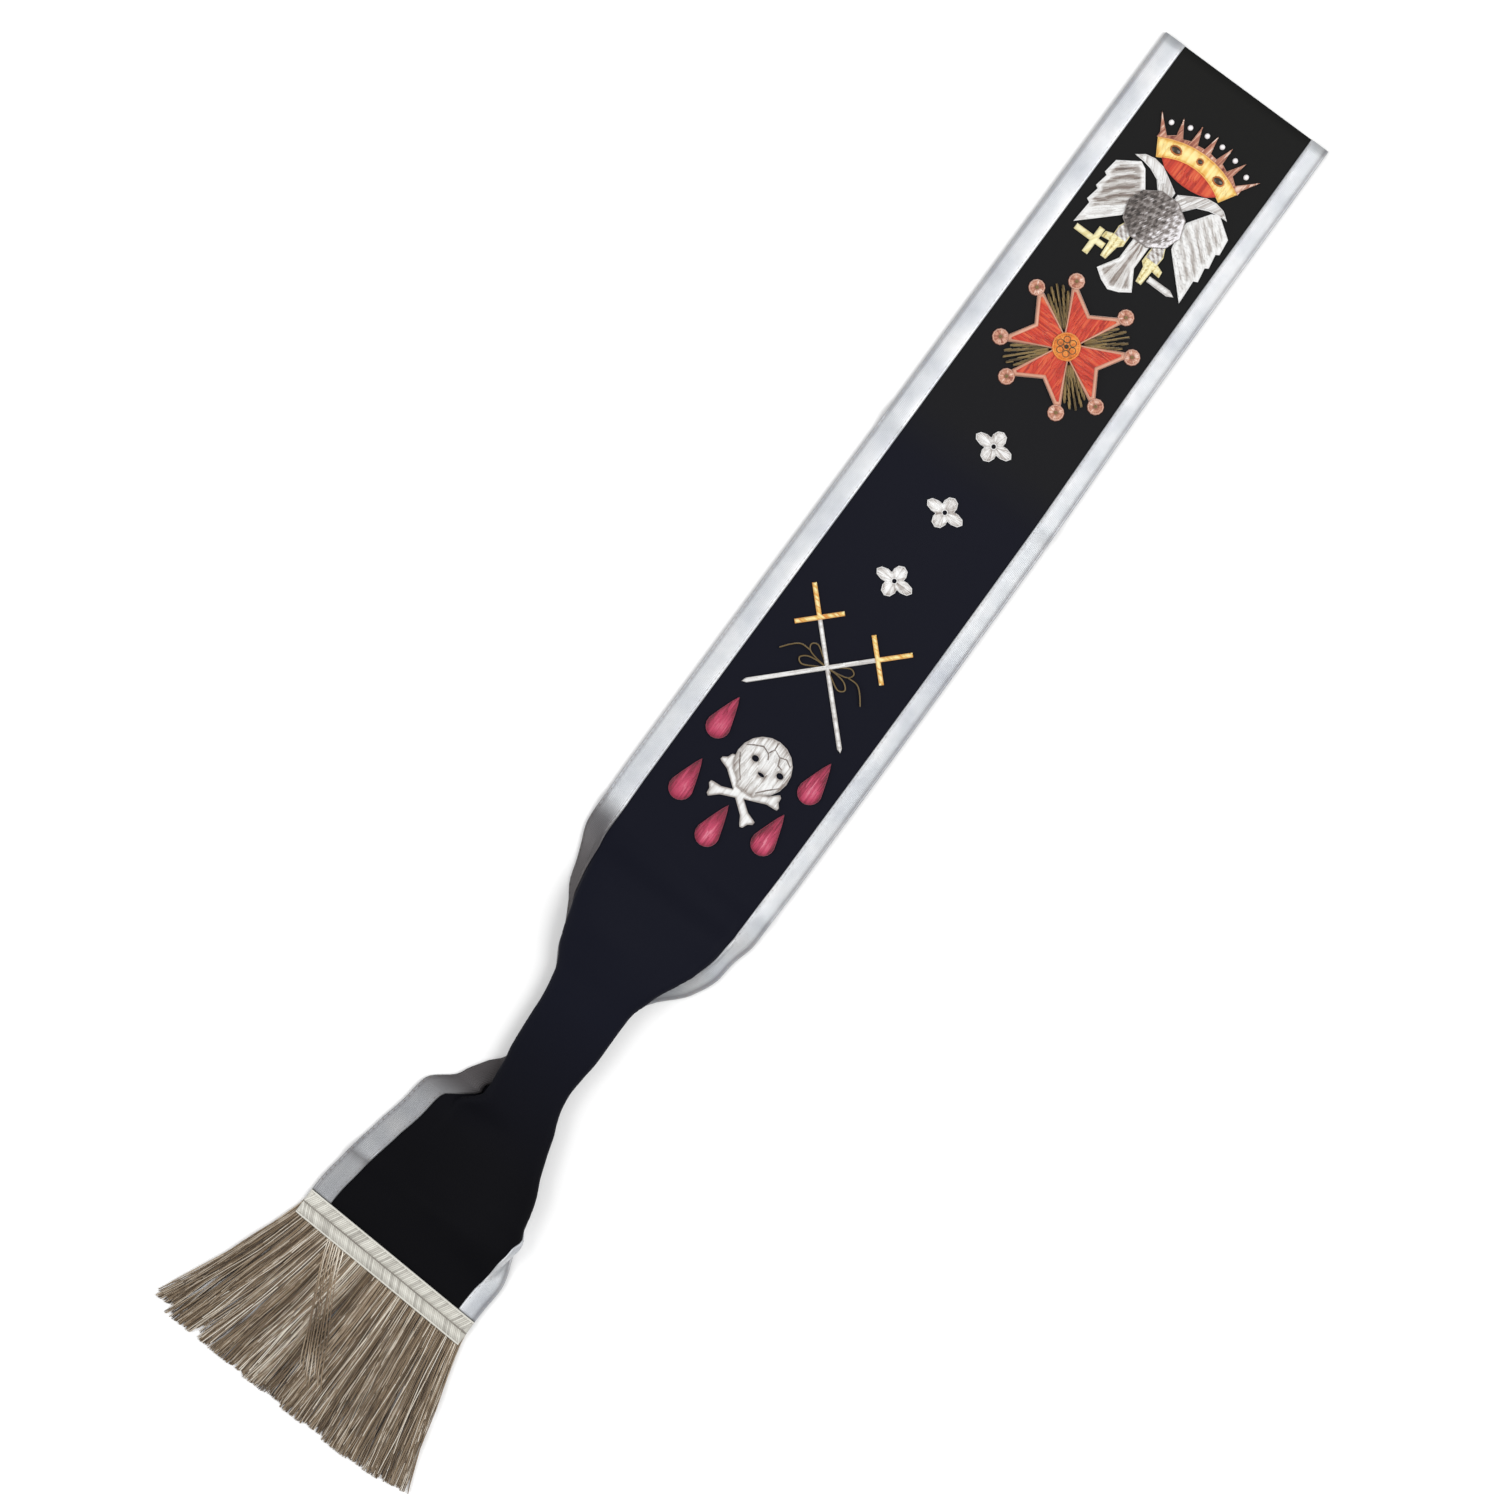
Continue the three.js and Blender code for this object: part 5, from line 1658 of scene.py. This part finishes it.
def make_heading():
    downs = steps_between(0, HEADING_DEPTH, 16)
    heights = (HEADING_BASE + HEADING_TAPE, HEADING_BASE)
    faces = [[[heading_point(x, d, z) for x in HEADING_X] for d in downs] for z in heights]
    places = [[(x, d) for x in HEADING_X] for d in downs]
    tape = make_sheet("heading_tape", faces[0], faces[1], places, THREADS["cream_braid"])
    for name, value in (("tone", 0.55), ("run", 0.0)):
        write_values(tape.data, name, [value] * len(tape.data.vertices))
    parts = [tape]
    slant = (cloth_y(HEADING_TOP, END_RIGHT) - cloth_y(HEADING_TOP, END_LEFT)) / (END_RIGHT - END_LEFT)
    inset = RIB_LEAN + RIB_CORD
    for number, (down, turn) in enumerate(RIB_PLACES):
        ends = [heading_point(x, down, heights[0]) for x in (END_LEFT + inset, END_RIGHT - inset)]
        step = Vector((turn * RIB_LEAN, RIB_HALF + turn * RIB_LEAN * slant, 0))
        values = {
            "Spacing": RIB_SPACING,
            "Start": tuple(-step),
            "Crest": (0.0, 0.0, 2 * RIB_RISE),
            "End": tuple(step),
            "Radius": RIB_CORD,
            "Seed": 3 + number,
            "Finish": THREADS["cream_braid"],
        }
        parts.append(run_tree("heading_rib_" + str(number), edge_chain("rib", ends), RIB_TREE, values))
    plan = Plan()
    for down, tone in CORD_TONES.items():
        chain = [heading_point(x, down, heights[0] + 0.2 * MM) for x in HEADING_X]
        plan.lay(chain, 0.55 * MM, tone)
    parts.append(run_plan("heading_cords", plan, "cream_braid", sides=6))
    return keep(join("heading_braid", parts), "fringe_heading")


heading = make_heading()
print(heading.name, len(heading.data.polygons), "faces")

# %% [markdown]
# ## The fringe
#
# A fringe is hundreds of strands that hang from one head. The tree sets a straight strand at every step of
# the head and then bends each one: it flares outward, it leans with the lock that it belongs to, it waves a
# little, and it ends at its own ragged length. Random numbers take the strand's number and a fixed seed.
# The head says where the strands part, are cut shorter or are darker. A loose lock crosses the rest.

# %% Strand tree
STRAND_JOINTS = 13
LOCK_SHIFT = 1.6 * MM
STRAY = 3.4 * MM
BOB = 0.12 * MM
STRAND_MEASURES = [
    "Length", "Middle", "Width", "Flare", "Sway", "Ragged", "Locks", "Gather", "Wave", "Floor", "Thickness",
    "Radius",
]


def strand_tree():
    measures = [(name, "Float", None) for name in STRAND_MEASURES]
    tree, given, made = new_group(
        "Hang strands",
        "GeometryNodeTree",
        [
            ("Geometry", "Geometry", None),
            ("Strands", "Int", None),
            *measures,
            ("Seed", "Int", None),
            ("Finish", "Material", None),
        ],
        [("Geometry", "Geometry")],
    )

    def m(operation, *values):
        return math_node(tree, operation, *values)

    def named(name, kind="FLOAT"):
        reader = add_node(tree, "GeometryNodeInputNamedAttribute", {"Name": name}, data_type=kind)
        return reader.outputs["Attribute"]

    line = add_node(tree, "GeometryNodeMeshToCurve", {"Mesh": given["Geometry"]}).outputs[0]
    strands = {"Curve": line, "Count": given["Strands"]}
    roots = add_node(tree, "GeometryNodeResampleCurve", strands, mode="COUNT").outputs[0]
    index = add_node(tree, "GeometryNodeInputIndex").outputs[0]
    place = add_node(tree, "GeometryNodeInputPosition").outputs[0]
    head = store(tree, roots, "strand", index, "INT")
    head = store(tree, head, "root", place, "FLOAT_VECTOR")
    ends = {"Start": (0, 0, 0), "End": (0, -1, 0)}
    straight = add_node(tree, "GeometryNodeCurvePrimitiveLine", ends).outputs[0]
    joints = {"Curve": straight, "Count": STRAND_JOINTS}
    jointed = add_node(tree, "GeometryNodeResampleCurve", joints, mode="COUNT").outputs[0]
    hung = add_node(tree, "GeometryNodeInstanceOnPoints", {"Points": head, "Instance": jointed}).outputs[0]
    real = add_node(tree, "GeometryNodeRealizeInstances", {"Geometry": hung}).outputs[0]

    strand = named("strand", "INT")
    root = add_node(tree, "ShaderNodeSeparateXYZ", {0: named("root", "FLOAT_VECTOR")}).outputs

    def chance(low, high, step):
        values = {2: low, 3: high, "ID": strand, "Seed": m("ADD", given["Seed"], float(step))}
        return add_node(tree, "FunctionNodeRandomValue", values, data_type="FLOAT").outputs[1]

    down = add_node(tree, "GeometryNodeSplineParameter").outputs["Factor"]
    aside = m("SUBTRACT", root["X"], given["Middle"])
    cell = m("MULTIPLY", m("ADD", m("DIVIDE", aside, given["Width"]), 0.5), given["Locks"])
    number = m("FLOOR", cell)
    lock_width = m("DIVIDE", given["Width"], given["Locks"])
    to_middle = m("MULTIPLY", m("SUBTRACT", m("ADD", number, 0.5), cell), lock_width)
    pull = m("MULTIPLY", m("MULTIPLY", to_middle, given["Gather"]), m("SMOOTH_MIN", down, 0.7, 0.2))
    flare = m("SUBTRACT", m("MULTIPLY", aside, given["Flare"]), given["Sway"])
    lock_turn = m("SINE", m("MULTIPLY", number, 2.3))
    wander = m("MULTIPLY_ADD", lock_turn, LOCK_SHIFT, named("push"))
    stray = m("MULTIPLY", chance(-1.0, 1.0, 1), STRAY)
    lean = m("MULTIPLY", m("ADD", m("ADD", flare, wander), stray), m("POWER", down, 1.15))
    phase = m("ADD", m("MULTIPLY", down, chance(5.0, 11.0, 2)), chance(0.0, 6.28, 3))
    wave = m("MULTIPLY", m("MULTIPLY", m("SINE", phase), given["Wave"]), m("SQRT", down))
    x = m("ADD", m("ADD", root["X"], pull), m("ADD", lean, wave))

    shorter = m("MULTIPLY", m("POWER", chance(0.0, 1.0, 4), 2.0), given["Ragged"])
    lock_wave = m("ABSOLUTE", m("SINE", m("MULTIPLY_ADD", number, 1.7, 0.6)))
    lock_shorter = m("MULTIPLY_ADD", lock_wave, 0.018, named("short"))
    length = m("MULTIPLY", given["Length"], m("SUBTRACT", m("SUBTRACT", 1.0, shorter), lock_shorter))
    y = m("SUBTRACT", root["Y"], m("MULTIPLY", down, length))

    layer = chance(0.0, 1.0, 5)
    swell = m("SINE", m("MULTIPLY", m("POWER", down, 0.65), math.pi))
    depth = m("MULTIPLY", given["Thickness"], m("MULTIPLY_ADD", swell, 0.62, 0.38))
    bob = m("MULTIPLY", m("COSINE", m("MULTIPLY", phase, 1.3)), BOB)
    z = m("ADD", m("ADD", given["Floor"], m("MULTIPLY", layer, depth)), m("MULTIPLY", bob, down))

    spot = add_node(tree, "ShaderNodeCombineXYZ", {"X": x, "Y": y, "Z": z})
    moved = {"Geometry": real, "Position": spot.outputs[0]}
    bent = add_node(tree, "GeometryNodeSetPosition", moved).outputs[0]
    run = add_node(tree, "GeometryNodeSplineParameter").outputs["Length"]
    bent = store(tree, bent, "run", run)
    # Painted shade: strands that lie lower in the pile are darker and those on top lighter; the rest is
    # random.
    tone = m("ADD", m("MULTIPLY_ADD", layer, 0.3, named("shade")), chance(0.0, 0.62, 6))
    taper = m("MULTIPLY", given["Radius"], m("MULTIPLY_ADD", down, -0.25, 1.0))
    cover(tree, given, made, store(tree, bent, "tone", tone), 3, taper)
    return tree


STRAND_TREE = strand_tree()
print("strand tree ready")

# %% The fringe
FRINGE_LENGTH = 89.5 * MM
STRAND_RADIUS = 0.42 * MM
STRAND_COUNT = 1080
# Where along the head the strands part, how much shorter they are there, and half the parting's width.
PARTINGS = [
    (0.05, 0.12, 0.012),
    (0.165, 0.15, 0.018),
    (0.44, 0.03, 0.008),
    (0.60, 0.06, 0.010),
    (0.86, 0.03, 0.008),
]


def head_values(share):
    """How much shorter, how far aside and how much lighter the strands are at a share of the head."""
    short = 0.05 if share < PARTINGS[0][0] else 0.05 * clamp((share - 0.85) / 0.15)
    push = 0.0
    for place, depth, half in PARTINGS:
        off = (share - place) / half
        short = max(short, depth * clamp(1 - abs(off)) ** 0.6)
        push += 9 * depth * MM * off * math.exp(-((off / 2.2) ** 2))
    shade = 0.34 * noise.noise(Vector((share * 34, 0.3, 0)))
    shade += 0.20 * noise.noise(Vector((share * 90, 2.3, 0))) + 0.14 * (share - 0.35)
    return short, push, shade


def make_fringe():
    inset = STRAND_RADIUS
    count = 260
    ends = steps_between(END_LEFT + inset, END_RIGHT - inset, count)
    points = [Vector((x, cloth_y(1, x) - SEWING_GAP, 0)) + FRAME_SHIFT for x in ends]
    head = edge_chain("fringe_head", points)
    values = [head_values(k / count) for k in range(count + 1)]
    for name, column in zip(("short", "push", "shade"), zip(*values)):
        write_values(head, name, list(column))
    inputs = {
        "Strands": STRAND_COUNT,
        "Length": FRINGE_LENGTH,
        "Middle": (END_LEFT + END_RIGHT) / 2 + FRAME_SHIFT.x,
        "Width": END_RIGHT - END_LEFT,
        "Flare": 0.50,
        "Sway": 4.5 * MM,
        "Ragged": 0.05,
        "Locks": 13.0,
        "Gather": 0.3,
        "Wave": 0.9 * MM,
        "Floor": STRAND_RADIUS + 0.1 * MM,
        "Thickness": 2.1 * MM,
        "Radius": STRAND_RADIUS,
        "Seed": 5,
        "Finish": THREADS["metallic_strands"],
    }
    return run_tree("fringe_strands", head, STRAND_TREE, inputs)


LOOSE_LOCK = [(-21, -327), (-15, -342), (-3, -366), (6, -384), (13, -396)]
LOOSE_GLINTS = [0.85, 0.6, 0.3, 0.72, 0.35]
LOOSE_STRANDS = 9
LOOSE_PITCH = 1.1 * MM


def make_loose_lock():
    """A few strands that slide across the others, bright where they face the light."""
    plan = Plan()
    spots = smooth_line(LOOSE_LOCK, 4)
    table = {"along": [k / 4 for k in range(5)], "glint": LOOSE_GLINTS}
    for k in range(LOOSE_STRANDS):
        aside = (k - (LOOSE_STRANDS - 1) / 2) * LOOSE_PITCH
        shares = [j / (len(spots) - 1) for j in range(len(spots))]
        chain = []
        for share, spot in zip(shares, spots):
            own = 0.9 * MM * noise.noise(Vector((k * 3.1, share * 5, 0.7)))
            z = 2.2 * MM + STRAND_RADIUS * math.sin(math.pi * share) + 0.2 * MM * (k % 2)
            sunk = z - 1.6 * MM * clamp((share - 0.7 - 0.04 * (k % 5)) / 0.12)
            chain.append((spot.x * MM + aside * (1 + 0.6 * share) + own, spot.y * MM, sunk))
        own_tones = [0.25 * speckle(k * 0.01, share * 0.003) for share in shares]
        glints = [between(table, "glint", share) for share in shares]
        plan.lay(chain, 0.4 * MM, [clamp(glint + own) for glint, own in zip(glints, own_tones)])
    return run_plan("fringe_loose_lock", plan, "metallic_strands")


fringe = join("fringe_strands", [make_fringe(), make_loose_lock()])
keep(fringe, "fringe")
print(fringe.name, len(fringe.data.polygons), "faces", [round(d * 1000, 1) for d in fringe.dimensions])

# %% [markdown]
# The ribbons are sewn down along both edges. Each stitch is a short thread that rises out of the ribbon
# and dives back in.

# %% Sewing stitches
STITCH_STEP = 3.4 * MM
STITCH_SPAN = 1.9 * MM
STITCH_INSET = 0.9 * MM
STITCH_SUNK = 0.05 * MM
STITCH_PROUD = 0.65 * MM


def sew_ribbon(name):
    plan = Plan()
    low = CLOTH_WALL / 2 + 0.5 * MM
    for k in range(int(RIBBON_END * CLOTH_LENGTH / STITCH_STEP) - 1):
        start = (k + 0.5) * STITCH_STEP
        sections = [Section((start + STITCH_SPAN * j / 2) / CLOTH_LENGTH) for j in range(3)]
        for edge in ("inner", "outer"):
            chain = []
            for section, lift in zip(sections, (STITCH_SUNK, STITCH_PROUD, STITCH_SUNK)):
                half = section.side(name).half
                out = half - STITCH_INSET
                if edge == "inner":
                    out = half - RIBBON_WIDTHS[name] * 0.985 + STITCH_INSET
                chain.append(cloth_point(section, name, out, low + lift))
            # The stitches take the ribbon's painted shade too.
            painted_shade = between(RIBBON_PAINTED_SHADE[name], "painted_shade", sections[1].along)
            plan.lay(chain, 0.2 * MM, 0.5 - 0.45 * painted_shade)
    return keep(run_plan("ribbon_" + name + "_sewing", plan, "white_thread", sides=3))


for name in ("left", "right"):
    piece = sew_ribbon(name)
    print(piece.name, len(piece.data.polygons), "faces")

# %% Finish
for piece in [band, *ribbons, *PIECES]:
    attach(piece, "root")
